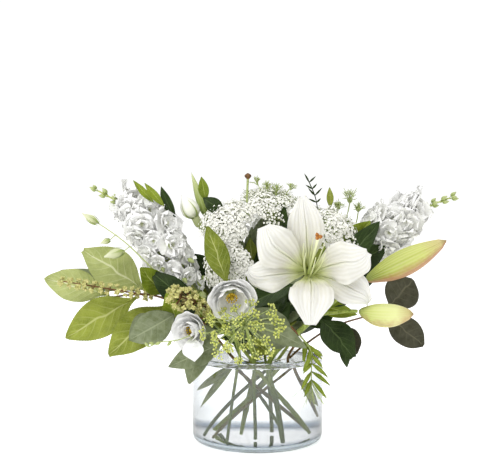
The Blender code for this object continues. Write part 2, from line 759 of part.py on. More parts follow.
# ---- foliage ----
def make_salal():
    stem = stand_stem("salal_stem", even_radii(WOODY_STEM_RADIUS, TWIG_RADIUS, 12),
                      (25, 0.55, STEM_FLOOR_GAP), mouth_spot(-0.45, -0.05),
                      [spot(-62, -10, 42), spot(-95, -14, 68), spot(-126, -16, 78), spot(-166, -12, 76)],
                      plain_stem("salal_stem", "woody_stem"))
    width = SALAL_WIDTH
    green = "salal_leaf"
    stand_leaf("salal_leaf_top", stem, 0.80, spot(-200, -8, 120), width * 1.05, (0.1, -1, 0.3), green, arch=5)
    stand_leaf("salal_leaf_far", stem, 0.98, spot(-246, -4, 87), width * 0.85, (0.2, -1, 0.3), green, arch=4)
    stand_leaf("salal_leaf_low", stem, 0.84, spot(-219, -24, 20), width, (0.1, -1, 0.2), green, arch=5)
    stand_leaf("salal_leaf_bottom", stem, 0.66, past_rim(-169, -32, 2), width, (0, -1, 0.3), green, arch=5)
    stand_leaf("salal_leaf_bright", stem, 0.70, spot(-130, -44, 108), width * 0.6, (0.5, -1, 0.1),
               green, arch=3)
    stand_leaf("salal_leaf_centre", STEMS["lisianthus_stem"], 0.84, spot(-56, -54, 150), width * 0.58,
               (0.1, -1, 0.1), green, arch=3, fold=0.08)


def make_eucalyptus():
    stem = stand_stem("eucalyptus_stem", even_radii(WOODY_STEM_RADIUS, TWIG_RADIUS, 15),
                      (4, 0.8, 18 * MM), mouth_spot(0.44, -0.42),
                      [past_rim(48, -50, 28), past_rim(26, -58, 46), past_rim(-22, -54, 50),
                       past_rim(-72, -46, 47), past_rim(-110, -40, 52)],
                      plain_stem("eucalyptus_stem", "woody_stem"))
    width = EUCALYPTUS_WIDTH
    grey = "eucalyptus_leaf"
    facing = (0, -1, 0.4)
    stand_leaf("eucalyptus_leaf_right", stem, 0.43, past_rim(-6, -76, 68), width * 1.35, facing, grey, arch=4)
    stand_leaf("eucalyptus_leaf_front", stem, 0.39, past_rim(-2, -84, 34), width * 0.8, facing, grey, arch=4)
    stand_leaf("eucalyptus_leaf_left", stem, 0.98, spot(-143, -46, 24), width, facing, grey, arch=4)
    stand_leaf("eucalyptus_leaf_silver", stem, 0.90, spot(-128, -54, 41), width * 0.7, facing, grey, arch=4)
    stand_leaf("eucalyptus_leaf_low", stem, 0.80, past_rim(-108, -60, -4), width, facing, grey, arch=4)
    stand_leaf("eucalyptus_leaf_far", STEMS["salal_stem"], 0.84, spot(-231, 14, 93), width * 0.7,
               (0.1, -1, 0.3), grey, arch=4)
    stand_branch("seeded_twig", STEMS["salal_stem"], 0.74,
                 [spot(-140, -38, 74), spot(-185, -42, 82), spot(-222, -42, 88)],
                 [1.0 * MM, 3 * MM, 5 * MM, 1.5 * MM], "seeds", count=12)
    stand_branch("seed_cluster", stem, 0.72, [spot(-60, -64, 62), spot(-78, -72, 72), spot(-96, -74, 74)],
                 [1.0 * MM, 6 * MM, 11 * MM, 4 * MM], "seeds", count=8, roundness=3)


def make_silver_dollar():
    stem = stand_stem("silver_dollar_stem", even_radii(SILVER_DOLLAR_STEM_RADIUS, TWIG_RADIUS, 12),
                      (-160, 0.75, STEM_FLOOR_GAP), mouth_spot(0.62, 0.1),
                      [spot(84, 0, 28), spot(120, -6, 40), spot(152, -8, 48)],
                      plain_stem("silver_dollar_stem", "woody_stem"))
    width = SILVER_DOLLAR_WIDTH
    round_form = {"pointed": 0.6, "widest": 0.5, "stalk": 0.12, "arch": 3}
    stand_leaf("silver_dollar_leaf_upper", stem, 0.98, spot(178, -6, 86), width, (0, -1, 0.2),
               "eucalyptus_leaf", **round_form)
    stand_leaf("silver_dollar_leaf_lower", stem, 0.94, spot(190, -14, 10), width * 0.8, (0, -1, 0.2),
               "eucalyptus_leaf", **round_form)
    stand_leaf("silver_dollar_leaf_inner", stem, 0.66, past_rim(112, -34, 4), width * 0.7, (-0.3, -1, 0.2),
               "dark_leaf", **round_form)


def make_trailing_sprig():
    """A thin sprig that hangs over the front of the rim."""
    stem = STEMS["eucalyptus_stem"]
    stand_branch("trailing_sprig", stem, 0.43,
                 [spot(46, -66, 30), past_rim(57, -92, 18), past_rim(57, -95, 0), past_rim(57, -95, -20)],
                 [TWIG_RADIUS, TWIG_RADIUS, 3 * MM, 4 * MM, 2 * MM], "flower_bud", count=12)


def make_top_leaves():
    stand_leaf("olive_leaf", STEMS["white_lace_top"], 0.60, spot(31, -14, 170), OLIVE_LEAF_WIDTH,
               (-0.2, -1, 0.2), "dark_leaf", arch=4)


def main():
    make_vase()
    make_lily_stem()
    make_lily_petals()
    make_lily_heart()
    make_lily_buds()
    make_stocks()
    make_lisianthus()
    make_white_lace()
    make_green_lace()
    make_back_bloom()
    make_salal()
    make_eucalyptus()
    make_silver_dollar()
    make_lily_leaves()
    make_trailing_sprig()
    make_top_leaves()
    make_stock_leaves()
    make_water(STEMS)


main()
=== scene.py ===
"""Looks for the lilies in a vase: a mixed white bouquet standing in a clear glass cylinder."""
import heapq
import math
from functools import partial

import bmesh
import bpy
import numpy as np
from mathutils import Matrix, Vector


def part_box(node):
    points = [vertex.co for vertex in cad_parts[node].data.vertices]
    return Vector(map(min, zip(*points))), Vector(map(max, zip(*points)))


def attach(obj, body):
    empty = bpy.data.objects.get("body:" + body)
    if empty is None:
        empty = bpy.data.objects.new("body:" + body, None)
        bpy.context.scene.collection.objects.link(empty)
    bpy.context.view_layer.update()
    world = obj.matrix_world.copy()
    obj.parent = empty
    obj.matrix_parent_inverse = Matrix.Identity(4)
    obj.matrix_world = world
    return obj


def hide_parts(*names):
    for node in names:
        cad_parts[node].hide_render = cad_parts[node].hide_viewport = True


MM = 0.001
GOLDEN = math.radians(137.508)
LEAF_THICKNESS = 0.35 * MM
THIN_LEAF = 0.3 * MM
FRONT = np.array([0.0, -1.0, 0.0])
UP = np.array([0.0, 0.0, 1.0])

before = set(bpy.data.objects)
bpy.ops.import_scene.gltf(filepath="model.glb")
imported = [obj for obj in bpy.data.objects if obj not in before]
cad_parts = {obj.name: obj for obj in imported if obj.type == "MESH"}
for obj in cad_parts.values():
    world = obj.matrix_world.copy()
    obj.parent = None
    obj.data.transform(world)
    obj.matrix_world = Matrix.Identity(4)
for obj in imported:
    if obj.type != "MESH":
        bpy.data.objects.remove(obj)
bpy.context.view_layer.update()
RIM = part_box("glass_vase")[1].z


# ---------------------------------------------------------------- numbers on arrays
def unit(vectors):
    """Vectors brought to length 1."""
    vectors = np.asarray(vectors, float)
    return vectors / np.maximum(np.linalg.norm(vectors, axis=-1, keepdims=True), 1e-9)


def across(ahead, hint):
    """Two directions square to ahead: the first as near to hint as it can be."""
    first = unit(hint - ahead * np.dot(hint, ahead))
    return first, np.cross(ahead, first)


def spokes(first, second, angles):
    """Directions at angles round from first towards second."""
    return np.cos(angles)[:, None] * first + np.sin(angles)[:, None] * second


def shares(rows, lanes):
    """How far along each row is, 0 to 1, and how far across each lane is, -1 to 1."""
    return np.linspace(0, 1, rows)[:, None], np.linspace(-1, 1, lanes)[None, :]


def flow(places, count):
    """A smooth run of count places through a few given ones."""
    places = np.asarray(places, float)
    at = np.linspace(0, len(places) - 1, count)
    low = np.clip(at.astype(int), 0, len(places) - 2)
    t = (at - low)[:, None]
    padded = np.vstack([2 * places[0] - places[1], places, 2 * places[-1] - places[-2]])
    a, b, c, d = (padded[low + i] for i in range(4))
    return 0.5 * (2 * b + (c - a) * t + (2 * a - 5 * b + 4 * c - d) * t ** 2
                  + (3 * b - a - 3 * c + d) * t ** 3)


def eased(values, passes=2):
    """A row of values or places with its kinks smoothed out; its ends stay."""
    values = np.array(values, float)
    for _ in range(passes):
        values[1:-1] = 0.25 * values[:-2] + 0.5 * values[1:-1] + 0.25 * values[2:]
    return values


def ripple(u, seed, waves):
    """A soft random wave along u from -1 to 1, with a few periods."""
    draw = np.random.default_rng(seed)
    total = 0.0
    for i in range(3):
        total = total + np.sin(u * math.tau * waves * (1 + 0.45 * i) + draw.uniform(0, math.tau)) / (1 + i)
    return total / 1.83


# ---------------------------------------------------------------- gathering sheets and rods into a mesh
class Heap:
    """Sheets and rods gathered into one mesh, each with its place along, across and a tone."""

    def __init__(self):
        self.places, self.faces, self.uvs, self.tones, self.size = [], [], [], [], 0

    def grid(self, places, tone=0.5, closed=False):
        """A sheet of rows by lanes of places; closed joins its last lane to its first."""
        rows, lanes = places.shape[:2]
        number = np.arange(rows * lanes).reshape(rows, lanes) + self.size
        if closed:
            number = np.hstack([number, number[:, :1]])
        a, b, c, d = number[:-1, :-1], number[:-1, 1:], number[1:, 1:], number[1:, :-1]
        self.faces.append(np.stack([a, b, c, d], -1).reshape(-1, 4))
        u, v = np.meshgrid(np.linspace(0, 1, rows), np.linspace(0, 1, lanes), indexing="ij")
        self.uvs.append(np.stack([u, v], -1).reshape(-1, 2))
        self.places.append(places.reshape(-1, 3))
        self.tones.append(np.broadcast_to(np.asarray(tone, float), (rows, lanes)).ravel())
        self.size += rows * lanes

    def rod(self, line, radii, sides=8, tone=0.5, rounded=True):
        """A round rod along a line of places; rounded closes its two ends."""
        line = np.asarray(line, float)
        radii = np.broadcast_to(np.asarray(radii, float), (len(line),)).copy()
        ahead = unit(np.gradient(line, axis=0))
        if rounded:
            start = line[0] - ahead[0] * radii[0] * 0.2
            end = line[-1] + ahead[-1] * radii[-1] * 0.5
            line = np.vstack([start, line, end])
            ahead = np.vstack([ahead[0], ahead, ahead[-1]])
            radii = np.concatenate([[radii[0] * 0.02], radii, [radii[-1] * 0.02]])
        side = across(ahead[0], UP if abs(ahead[0][2]) < 0.9 else FRONT)[0]
        angles = np.linspace(0, math.tau, sides, endpoint=False)
        rings = []
        for place, direction, radius in zip(line, ahead, radii):
            side, other = across(direction, side)
            rings.append(place + radius * spokes(side, other, angles))
        self.grid(np.array(rings), tone, closed=True)

    def form(self, name, material, slot, *nodes, thickness=0.0, outward=False):
        """The finished piece, which stands for the given CAD nodes."""
        places, faces = np.vstack(self.places), np.vstack(self.faces)
        mesh = bpy.data.meshes.new(name)
        mesh.vertices.add(len(places))
        mesh.vertices.foreach_set("co", places.ravel())
        mesh.loops.add(len(faces) * 4)
        mesh.loops.foreach_set("vertex_index", faces.ravel())
        mesh.polygons.add(len(faces))
        mesh.polygons.foreach_set("loop_start", np.arange(len(faces)) * 4)
        mesh.update(calc_edges=True)
        uv = mesh.uv_layers.new(name="along_across")
        uv.data.foreach_set("uv", np.vstack(self.uvs)[faces.ravel()].ravel())
        tone = mesh.attributes.new("tone", "FLOAT", "POINT")
        tone.data.foreach_set("value", np.concatenate(self.tones))
        mesh.shade_smooth()
        if outward:
            work = bmesh.new()
            work.from_mesh(mesh)
            bmesh.ops.recalc_face_normals(work, faces=work.faces)
            work.to_mesh(mesh)
            work.free()
        present(bpy.data.objects.new(name, mesh), material, slot, *nodes, thickness=thickness)


def present(piece, material, slot, *nodes, thickness=0.0, smooth=0):
    """Shows a piece: gives it a finish, joins it to the body and hides the nodes it stands for."""
    piece.name = piece.name.replace(" ", "_")
    bpy.context.scene.collection.objects.link(piece)
    piece.data.materials.append(material)
    if smooth:
        rounder = piece.modifiers.new("rounder", "SUBSURF")
        rounder.levels = rounder.render_levels = smooth
    if thickness:
        skin = piece.modifiers.new("thickness", "SOLIDIFY")
        skin.thickness = thickness
        skin.offset = 0.0
    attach(piece, "root")
    if nodes:
        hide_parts(*nodes)


# ---------------------------------------------------------------- measuring the CAD nodes
def mesh_of(node):
    """A node's places without doubles, and its edges."""
    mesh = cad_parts[node].data
    places = np.array([vert.co for vert in mesh.vertices], float)
    rounded = np.round(places / (0.002 * MM)).astype(np.int64)
    _, first, number = np.unique(rounded, axis=0, return_index=True, return_inverse=True)
    number = number.reshape(-1)
    edges = {tuple(sorted((number[a], number[b]))) for a, b in (edge.vertices for edge in mesh.edges)}
    edges = np.array([edge for edge in edges if edge[0] != edge[1]])
    return places[first], edges


def cuts(places, edges, field, level):
    """Where the edges cross a level of a field that every place has a value of."""
    start, end = field[edges[:, 0]], field[edges[:, 1]]
    crossing = (start - level) * (end - level) < 0
    share = ((level - start[crossing]) / (end[crossing] - start[crossing]))[:, None]
    a, b = places[edges[crossing, 0]], places[edges[crossing, 1]]
    return a + (b - a) * share


def ends_of(places, owner):
    """A node's two far ends: the one by its owner first."""
    middle = places.mean(0)
    one = places[np.argmax(np.linalg.norm(places - middle, axis=1))]
    other = places[np.argmax(np.linalg.norm(places - one, axis=1))]
    stem, _ = mesh_of(owner)
    near = [np.min(np.linalg.norm(stem - end, axis=1)) for end in (one, other)]
    return (one, other) if near[0] < near[1] else (other, one)


def sheet_of(node, owner, rows):
    """A leaf node's left edge, middle and right edge in rows from its foot, its upper side in front."""
    places, edges = mesh_of(node)
    foot, tip = ends_of(places, owner)
    ahead = unit(tip - foot)
    field = (places - foot) @ ahead
    low, high = field.min(), field.max()
    levels = low + (high - low) * np.linspace(0.012, 0.988, rows)
    lefts, middles, rights = [], [], []
    rough = places - places.mean(0)
    rough -= np.outer(rough @ ahead, ahead)
    side = np.linalg.svd(rough, full_matrices=False)[2][0]
    for level in levels:
        ring = cuts(places, edges, field, level)
        if len(ring) > 5:
            flat = ring - ring.mean(0)
            spread = np.linalg.svd(flat, full_matrices=False)
            if spread[1][0] > 3 * spread[1][1]:
                near = spread[2][0] * np.sign(np.dot(spread[2][0], side) or 1)
                side = unit(near + side * 0.5)
        reach = ring @ side
        centre = 0.5 * (reach.max() + reach.min())
        left, right = ring[np.argmin(reach)], ring[np.argmax(reach)]
        inner = ring[np.argsort(np.abs(reach - centre))[:4]]
        lefts.append(left)
        rights.append(right)
        middles.append(inner.mean(0))
    left, middle, right = (eased(run, 3) for run in (lefts, middles, rights))
    top = unit(np.cross(unit(right - left), ahead).mean(0))
    if np.dot(top, FRONT + 0.3 * UP) < 0:
        left, right = right, left
    return left, middle, right


def spine_of(node, count, start=None):
    """A rod node's middle line and radii from its lowest end, or from a given place."""
    places, edges = mesh_of(node)
    lengths = np.linalg.norm(places[edges[:, 0]] - places[edges[:, 1]], axis=1)
    near = [[] for _ in places]
    for (a, b), length in zip(edges, lengths):
        near[a].append((b, length))
        near[b].append((a, length))
    first = int(np.argmin(places[:, 2] if start is None else np.linalg.norm(places - start, axis=1)))
    walk = np.full(len(places), np.inf)
    walk[first] = 0.0
    queue = [(0.0, first)]
    while queue:
        gone, i = heapq.heappop(queue)
        if gone > walk[i]:
            continue
        for j, length in near[i]:
            if gone + length < walk[j]:
                walk[j] = gone + length
                heapq.heappush(queue, (walk[j], j))
    line, radii = [], []
    for level in walk.max() * np.linspace(0.01, 0.97, count):
        ring = cuts(places, edges, walk, level)
        centre = ring.mean(0)
        line.append(centre)
        radii.append(np.linalg.norm(ring - centre, axis=1).mean())
    return eased(line), np.array(radii)


def body_of(node, owner, rows):
    """A swollen node's axis places and radii in rows from the end by its owner."""
    places, edges = mesh_of(node)
    foot, tip = ends_of(places, owner)
    field = (places - foot) @ unit(tip - foot)
    low, high = field.min(), field.max()
    line, radii = [], []
    for level in low + (high - low) * np.linspace(0.01, 0.99, rows):
        ring = cuts(places, edges, field, level)
        centre = 0.5 * (ring.max(0) + ring.min(0))
        line.append(centre)
        radii.append(np.linalg.norm(ring - centre, axis=1).max())
    return eased(line), np.array(radii)


# ---------------------------------------------------------------- materials
def colour(code):
    """An sRGB hex code as linear red, green, blue and alpha."""
    values = [int(code[i:i + 2], 16) / 255 for i in (1, 3, 5)]
    return (*[v / 12.92 if v <= 0.04045 else ((v + 0.055) / 1.055) ** 2.4 for v in values], 1.0)


def add_node(tree, kind, *values, stops=(), out=None, **settings):
    """Adds a shader node and gives its first output, or the one called out.

    Kind may end in a slash and the node's main setting. Values feed its sockets in order, a dict
    feeds the ones it numbers or names, and stops are a ramp's colours.
    """
    kind, _, main = kind.partition("/")
    node = tree.nodes.new("ShaderNode" + kind)
    if main:
        settings["operation" if kind == "Math" else "data_type"] = main
    for key, value in settings.items():
        setattr(node, key, value)
    shown = [socket for socket in node.inputs if socket.enabled]
    fed = {}
    for value in values:
        fed.update(value if isinstance(value, dict) else {len(fed): value})
    for key, value in fed.items():
        socket = node.inputs[key] if isinstance(key, str) else shown[key]
        if isinstance(value, bpy.types.NodeSocket):
            tree.links.new(value, socket)
        else:
            socket.default_value = colour(value) if isinstance(value, str) else value
    for i, (place, code) in enumerate(stops):
        stop = node.color_ramp.elements[i] if i < 2 else node.color_ramp.elements.new(place)
        stop.position = place
        stop.color = colour(code)
    if out is not None:
        return node.outputs[out]
    return next((socket for socket in node.outputs if socket.enabled), None)


def new_material(name):
    """An empty material, and what adds a node to it."""
    material = bpy.data.materials.new(name)
    material.use_nodes = True
    material.node_tree.nodes.clear()
    return material, partial(add_node, material.node_tree)


def finished(add, links, thin=0.0):
    """Ends a material in one principled surface; thin is the share of light that comes through."""
    surface = add("BsdfPrincipled", links)
    if thin:
        through = add("BsdfTranslucent", {"Color": links["Base Color"], "Normal": links["Normal"]})
        surface = add("MixShader", thin, surface, through)
    add("OutputMaterial", {"Surface": surface})


def along_across(add):
    """Where a point is along its sheet, how far it is from the midrib, and to which side."""
    place = add("UVMap", uv_map="along_across")
    offset = add("Math/SUBTRACT", add("SeparateXYZ", place, out=1), 0.5)
    out = add("Math/MULTIPLY", add("Math/ABSOLUTE", offset), 2.0)
    return add("SeparateXYZ", place), out, offset


def grain(add, size, detail=3.0, rough=0.55, stretch=(1, 1, 1)):
    """Soft mottling with blotches of about size metres."""
    where = add("Mapping", {"Vector": add("TexCoord", out="Object"), "Scale": stretch})
    return add("TexNoise", {"Vector": where, "Scale": 1 / size, "Detail": detail, "Roughness": rough})


def line_at(add, value, width, softness):
    """1 where value is under width, falling softly to 0."""
    return add("MapRange", value, width, width + softness, 1.0, 0.0, interpolation_type="SMOOTHSTEP")


def ribbing(add, place, ribs):
    """Soft ribs from 0 to 1; ribs is twice how many fit in one unit of place."""
    wave = add("Math/SINE", add("Math/MULTIPLY", place, ribs * math.pi))
    return add("Math/MULTIPLY", add("Math/ADD", wave, 1.0), 0.5)


def leaf_material(name, deep, fresh, vein, gloss, side_veins, slant, bloom=None, sheer=0.12):
    """A leaf under its wax skin: mottled between two greens, with a pale midrib and side veins."""
    material, add = new_material(name)
    along, out, _ = along_across(add)
    tone = add("Attribute", attribute_name="tone", out="Fac")
    mottle = add("MapRange", grain(add, 14 * MM), 0.3, 0.7, -0.35, 0.35)
    share = add("Clamp", add("Math/ADD", mottle, tone))
    blade = add("Mix/RGBA", share, deep, fresh)
    # side veins leave the midrib at a slant and thin out towards the edge
    phase = add("Math/SUBTRACT", add("Math/MULTIPLY", along, side_veins), add("Math/MULTIPLY", out, slant))
    wave = add("Math/ABSOLUTE", add("Math/SUBTRACT", add("Math/FRACT", phase), 0.5))
    thinning = add("Math/SUBTRACT", 0.62, add("Math/MULTIPLY", out, 0.5))
    veins = add("Math/MULTIPLY", line_at(add, wave, 0.02, 0.07), thinning)
    # the fine net of veins has meshes of about 2 mm
    net = add("TexVoronoi", {"Vector": add("TexCoord", out="Object"), "Scale": 1 / (2.2 * MM)},
              feature="DISTANCE_TO_EDGE", out="Distance")
    fine = add("Math/MULTIPLY", line_at(add, net, 0.02, 0.10), 0.16)
    midrib = line_at(add, out, 0.03, 0.045)
    lines = add("Math/MAXIMUM", add("Math/MAXIMUM", midrib, veins), fine)
    blade = add("Mix/RGBA", add("Math/MULTIPLY", lines, 0.8), blade, vein)
    if bloom:
        # the waxy bloom lies in soft patches and dulls the leaf where it is thick
        wax = add("MapRange", grain(add, 7 * MM, 4), 0.35, 0.75, 0.15, 0.75)
        blade = add("Mix/RGBA", wax, blade, bloom)
    relief = add("Math/ADD", add("Math/MULTIPLY", lines, -1.0), grain(add, 1.5 * MM))
    bump = add("Bump", {"Strength": 0.45, "Distance": 0.35 * MM, "Height": relief})
    gloss_map = add("MapRange", grain(add, 5 * MM), 0.3, 0.7, gloss - 0.07, gloss + 0.1)
    finished(add, {"Base Color": blade, "Roughness": gloss_map, "IOR": 1.45, "Specular IOR Level": 0.22,
                   "Normal": bump}, sheer)
    return material


def petal_material(name, foot, body, edge, ribs, rough, thin):
    """A soft petal of thin cells: greener at its foot, matt, with faint ribs, and light comes through."""
    material, add = new_material(name)
    along, out, _ = along_across(add)
    tone = add("Attribute", attribute_name="tone", out="Fac")
    place = add("Math/ADD", along, add("Math/MULTIPLY", tone, 0.12))
    ramp = add("ValToRGB", place, stops=[(0.04, foot), (0.34, body), (0.96, edge)])
    waver = add("Math/MULTIPLY", grain(add, 6 * MM), 0.18)
    bars = ribbing(add, add("Math/ADD", out, waver), ribs)
    # the faint ribs are tinted grey-beige: partly their own tint, partly painted shade along the ribbing
    shade = add("Mix/RGBA", add("Math/MULTIPLY", bars, 0.07), ramp, "#c9c7b4")
    shade = add("Mix/RGBA", add("Math/MULTIPLY", grain(add, 4 * MM), 0.06), shade, "#d8d8c6")
    relief = add("Math/ADD", bars, add("Math/MULTIPLY", grain(add, 0.8 * MM), 0.6))
    bump = add("Bump", {"Strength": 0.14, "Distance": 0.2 * MM, "Height": relief})
    finished(add, {"Base Color": shade, "Roughness": rough, "IOR": 1.4, "Specular IOR Level": 0.3,
                   "Normal": bump}, thin)
    return material


def stem_material(name, low, high, fleck, rough, streak=9.0, vase_shade=None):
    """A stem's skin: streaks of two tones, dark flecks, fine ridges; lower in the vase it is blended into a
    darker given colour, which is painted shade.
    """
    material, add = new_material(name)
    streaks = grain(add, 3 * MM, 4, 0.6, (1, 1, 1 / streak))
    body = add("Mix/RGBA", add("MapRange", streaks, 0.35, 0.65), low, high)
    shine = 0.4
    if vase_shade:
        height = add("SeparateXYZ", add("TexCoord", out="Object"), out=2)
        # a wet skin has no shine of its own under water
        shine = add("MapRange", height, 0.9 * RIM, 0.97 * RIM, 0.03, shine)
        # painted shade: from above the rim down into the vase the stem is blended into the darker colour
        deep = add("MapRange", height, 0.55 * RIM, 1.25 * RIM, 1.0, 0.0)
        body = add("Mix/RGBA", deep, body, vase_shade)
    dots = line_at(add, grain(add, 1.6 * MM, 2), 0.36, 0.06)
    body = add("Mix/RGBA", add("Math/MULTIPLY", dots, 0.6), body, fleck)
    bump = add("Bump", {"Strength": 0.5, "Distance": 0.3 * MM, "Height": streaks})
    finished(add, {"Base Color": body, "Roughness": rough, "IOR": 1.45, "Normal": bump,
                   "Specular IOR Level": shine, "Subsurface Weight": 0.06,
                   "Subsurface Radius": (0.6, 1.0, 0.3), "Subsurface Scale": 1 * MM})
    return material


def clear_stuff(add, tint, ior, bump, shadow):
    """Ends a clear material, which casts only a faint tinted shadow, as on a bright table."""
    surface = add("BsdfPrincipled", {"Base Color": tint, "Roughness": 0.0, "IOR": ior,
                                     "Transmission Weight": 1.0, "Normal": bump})
    pale = add("BsdfTransparent", {"Color": shadow})
    both = add("MixShader", add("LightPath", out="Is Shadow Ray"), surface, pale)
    add("OutputMaterial", {"Surface": both})


def glass_material():
    """Pressed soda-lime glass: clear, with a soft ripple; its thick foot is tinted blue-grey, partly for the
    thick glass and partly as painted shade.
    """
    material, add = new_material("soda_lime_glass")
    bump = add("Bump", {"Strength": 0.05, "Distance": 0.5 * MM, "Height": grain(add, 30 * MM, 1, 0.4)})
    height = add("SeparateXYZ", add("TexCoord", out="Object"), out=2)
    foot = add("MapRange", height, 6 * MM, 14 * MM, 1.0, 0.0, interpolation_type="SMOOTHSTEP")
    tint = add("Mix/RGBA", grain(add, 40 * MM), "#fdfdfe", "#f6f8f9")
    # partly painted shade: the foot is tinted a dark blue-grey, more than its thick glass alone would give
    tint = add("Mix/RGBA", foot, tint, "#8795a5")
    # seen edge-on, the tint turns grey: partly for the longer way through the wall, partly painted shade
    # that draws the dark edges of the glass
    edge_on = add("Math/POWER", add("LayerWeight", 0.5, out="Facing"), 1.6)
    tint = add("Mix/RGBA", edge_on, tint, "#6f797f")
    clear_stuff(add, tint, 1.5, bump, "#f6faf8")
    return material


def water_material():
    """Fresh water: clear, with a breath of grey, its surface almost still."""
    material, add = new_material("fresh_water")
    bump = add("Bump", {"Strength": 0.06, "Distance": 0.6 * MM, "Height": grain(add, 16 * MM, 1)})
    tint = add("Mix/RGBA", grain(add, 30 * MM), "#fdfefe", "#f6f8f9")
    clear_stuff(add, tint, 1.333, bump, "#f4f9f6")
    return material


# ---------------------------------------------------------------- shapes of leaves, petals and florets
def outlined(left, middle, right, lanes):
    """A sheet bent through three edge lines: rows by lanes of places, and its upward normals."""
    v = np.linspace(-1, 1, lanes)[None, :, None]
    left, middle, right = left[:, None], middle[:, None], right[:, None]
    places = 0.5 * v * (v - 1) * left + (1 - v * v) * middle + 0.5 * v * (v + 1) * right
    down = np.gradient(places, axis=0)
    over = np.gradient(places, axis=1)
    normals = unit(np.cross(over, down))
    if np.mean(normals @ (FRONT + 0.3 * UP)) < 0:
        normals = -normals
    return places, normals


def leaf(name, node, owner, material, slot, veins=9, slant=2.4, quilt=0.5, wave=1.0, waves=2.5,
         teeth=0.0, groove=0.6, tip_curl=0.0, tone=0.5, seed=0):
    """A leaf along a CAD leaf: side veins quilt it, its midrib sinks, its edge waves or is toothed."""
    rows, lanes = 72, 31
    left, middle, right = (flow(run, rows) for run in sheet_of(node, owner, 26))
    u, v = shares(rows, lanes)
    swell = np.sin(u * math.pi) ** 0.5
    if teeth:
        bite = teeth * MM * (np.arange(rows)[:, None] % 2 * 2.0 - 1) * swell
        out = unit(right - left)
        left, right = left - out * bite, right + out * bite
    places, normals = outlined(left, middle, right, lanes)
    phase = u * veins - np.abs(v) * slant
    relief = -quilt * np.abs(np.cos(phase * math.pi)) ** 6 * (1 - 0.5 * np.abs(v))
    relief -= groove * np.exp(-(v / 0.07) ** 2)
    relief += wave * np.abs(v) ** 2.5 * ripple(u + 0.15 * np.sign(v), seed, waves) * swell
    relief -= tip_curl * np.maximum(0, u - 0.75) ** 2 * 16
    heap = Heap()
    heap.grid(places + normals * (relief * MM)[..., None], tone)
    heap.form(name, material, slot, node, thickness=LEAF_THICKNESS)


def petal_shape(length, width, rows, lanes, widest=0.62, cup=0.25, curl=0.2, ruffle=0.06, waves=2.0,
                seed=0, blunt=0.6):
    """A petal from the origin along +Y, its face to +Z: rows by lanes of places."""
    u, v = shares(rows, lanes)
    swell = np.where(u < widest, np.sin(u / widest * math.pi / 2) ** 0.9,
                     np.cos((u - widest) / (1 - widest) * math.pi / 2 * 0.98) ** blunt)
    half = width / 2 * np.maximum(swell, 0.06)
    x = v * half
    y = length * u * (1 - 0.12 * np.abs(v) ** 3 * u)
    edge = np.maximum(np.abs(v) ** 2 * u, np.maximum(0, u - 0.7) * 1.6)
    z = cup * width * v ** 2 * (1 - 0.5 * u) + length * curl * np.sin(u * math.pi * 0.8)
    z = z - length * 0.35 * curl * np.maximum(0, u - 0.55) * 4
    z = z + ruffle * length * edge * ripple(v * 0.5 + u * 0.4, seed, waves)
    return np.stack([x + 0 * u, y + 0 * v, z], -1)


def placed(shape, place, ahead, top):
    """A shape's places set at a place, along ahead, with its face to top."""
    ahead = unit(ahead)
    top, _ = across(ahead, np.asarray(top, float))
    side = np.cross(ahead, top)
    return place + (shape[..., :1] * side + shape[..., 1:2] * ahead + shape[..., 2:] * top)


def spiral_dome(count, offset=0.0):
    """Directions as (out share, angle) that cover a dome evenly, from its crown outwards."""
    for i in range(count):
        yield math.sqrt((i + 0.5) / count), i * GOLDEN + offset


def aimed(axis, tilt, turn):
    """A direction tilted off an axis by tilt, turned round it by turn."""
    first, second = across(axis, UP)
    return math.cos(tilt) * axis + math.sin(tilt) * (math.cos(turn) * first + math.sin(turn) * second)


def rosette(heap, place, axis, whorls, tone, seed):
    """Whorls of petals round an axis, each (petals, length, width, opening, curl, ruffle)."""
    for ring, (petals, length, width, opening, curl, ruffle) in enumerate(whorls):
        for i in range(petals):
            number = seed * 37 + ring * 11 + i
            draw = np.random.default_rng(number)
            turn = math.tau * (i + 0.5 * (ring % 2)) / petals + draw.uniform(-0.12, 0.12)
            tilt = math.radians(opening) * draw.uniform(0.9, 1.1)
            ahead = aimed(axis, tilt, turn)
            rows, lanes = (13, 13) if length > 9 * MM else (9, 9)
            shape = petal_shape(length * draw.uniform(0.92, 1.06), width, rows, lanes, 0.66, 0.16,
                                curl, ruffle, 1.4, number)
            heap.grid(placed(shape, place, ahead, axis), tone * draw.uniform(0.8, 1.2))


def floret(heap, place, axis, radius, petals, tone, seed):
    """A tiny open flower of flat petals."""
    for i in range(petals):
        ahead = aimed(axis, 1.25, math.tau * i / petals + seed)
        shape = petal_shape(radius, radius * 0.85, 4, 3, 0.7, 0.1, 0.12, 0.0)
        heap.grid(placed(shape, place, ahead, axis), tone)


def bead(heap, place, ahead, length, width, tone, sides=6, profile=(0.35, 0.85, 1.0, 0.8, 0.3)):
    """A small seed or bud along ahead."""
    line = [place + ahead * (length * share) for share in np.linspace(0.05, 0.95, len(profile))]
    heap.rod(line, [width / 2 * share for share in profile], sides, tone)


# ---------------------------------------------------------------- the vase and its water
def rings_of(node):
    """A turned node's profile as (radius, height) pairs, walked from the middle of its underside."""
    places, edges = mesh_of(node)
    keys = np.round(np.column_stack([np.hypot(places[:, 0], places[:, 1]), places[:, 2]]) / (0.02 * MM))
    rings, number = np.unique(keys.astype(int), axis=0, return_inverse=True)
    number = number.reshape(-1)
    joined = {tuple(sorted(pair)) for pair in number[edges] if pair[0] != pair[1]}
    walk = [int(np.argmin(rings[:, 0] + rings[:, 1]))]
    while True:
        ahead = [a + b - walk[-1] for a, b in joined if walk[-1] in (a, b)]
        ahead = [ring for ring in ahead if ring not in walk]
        if not ahead:
            return rings[walk] * 0.02 * MM
        walk.append(ahead[0])


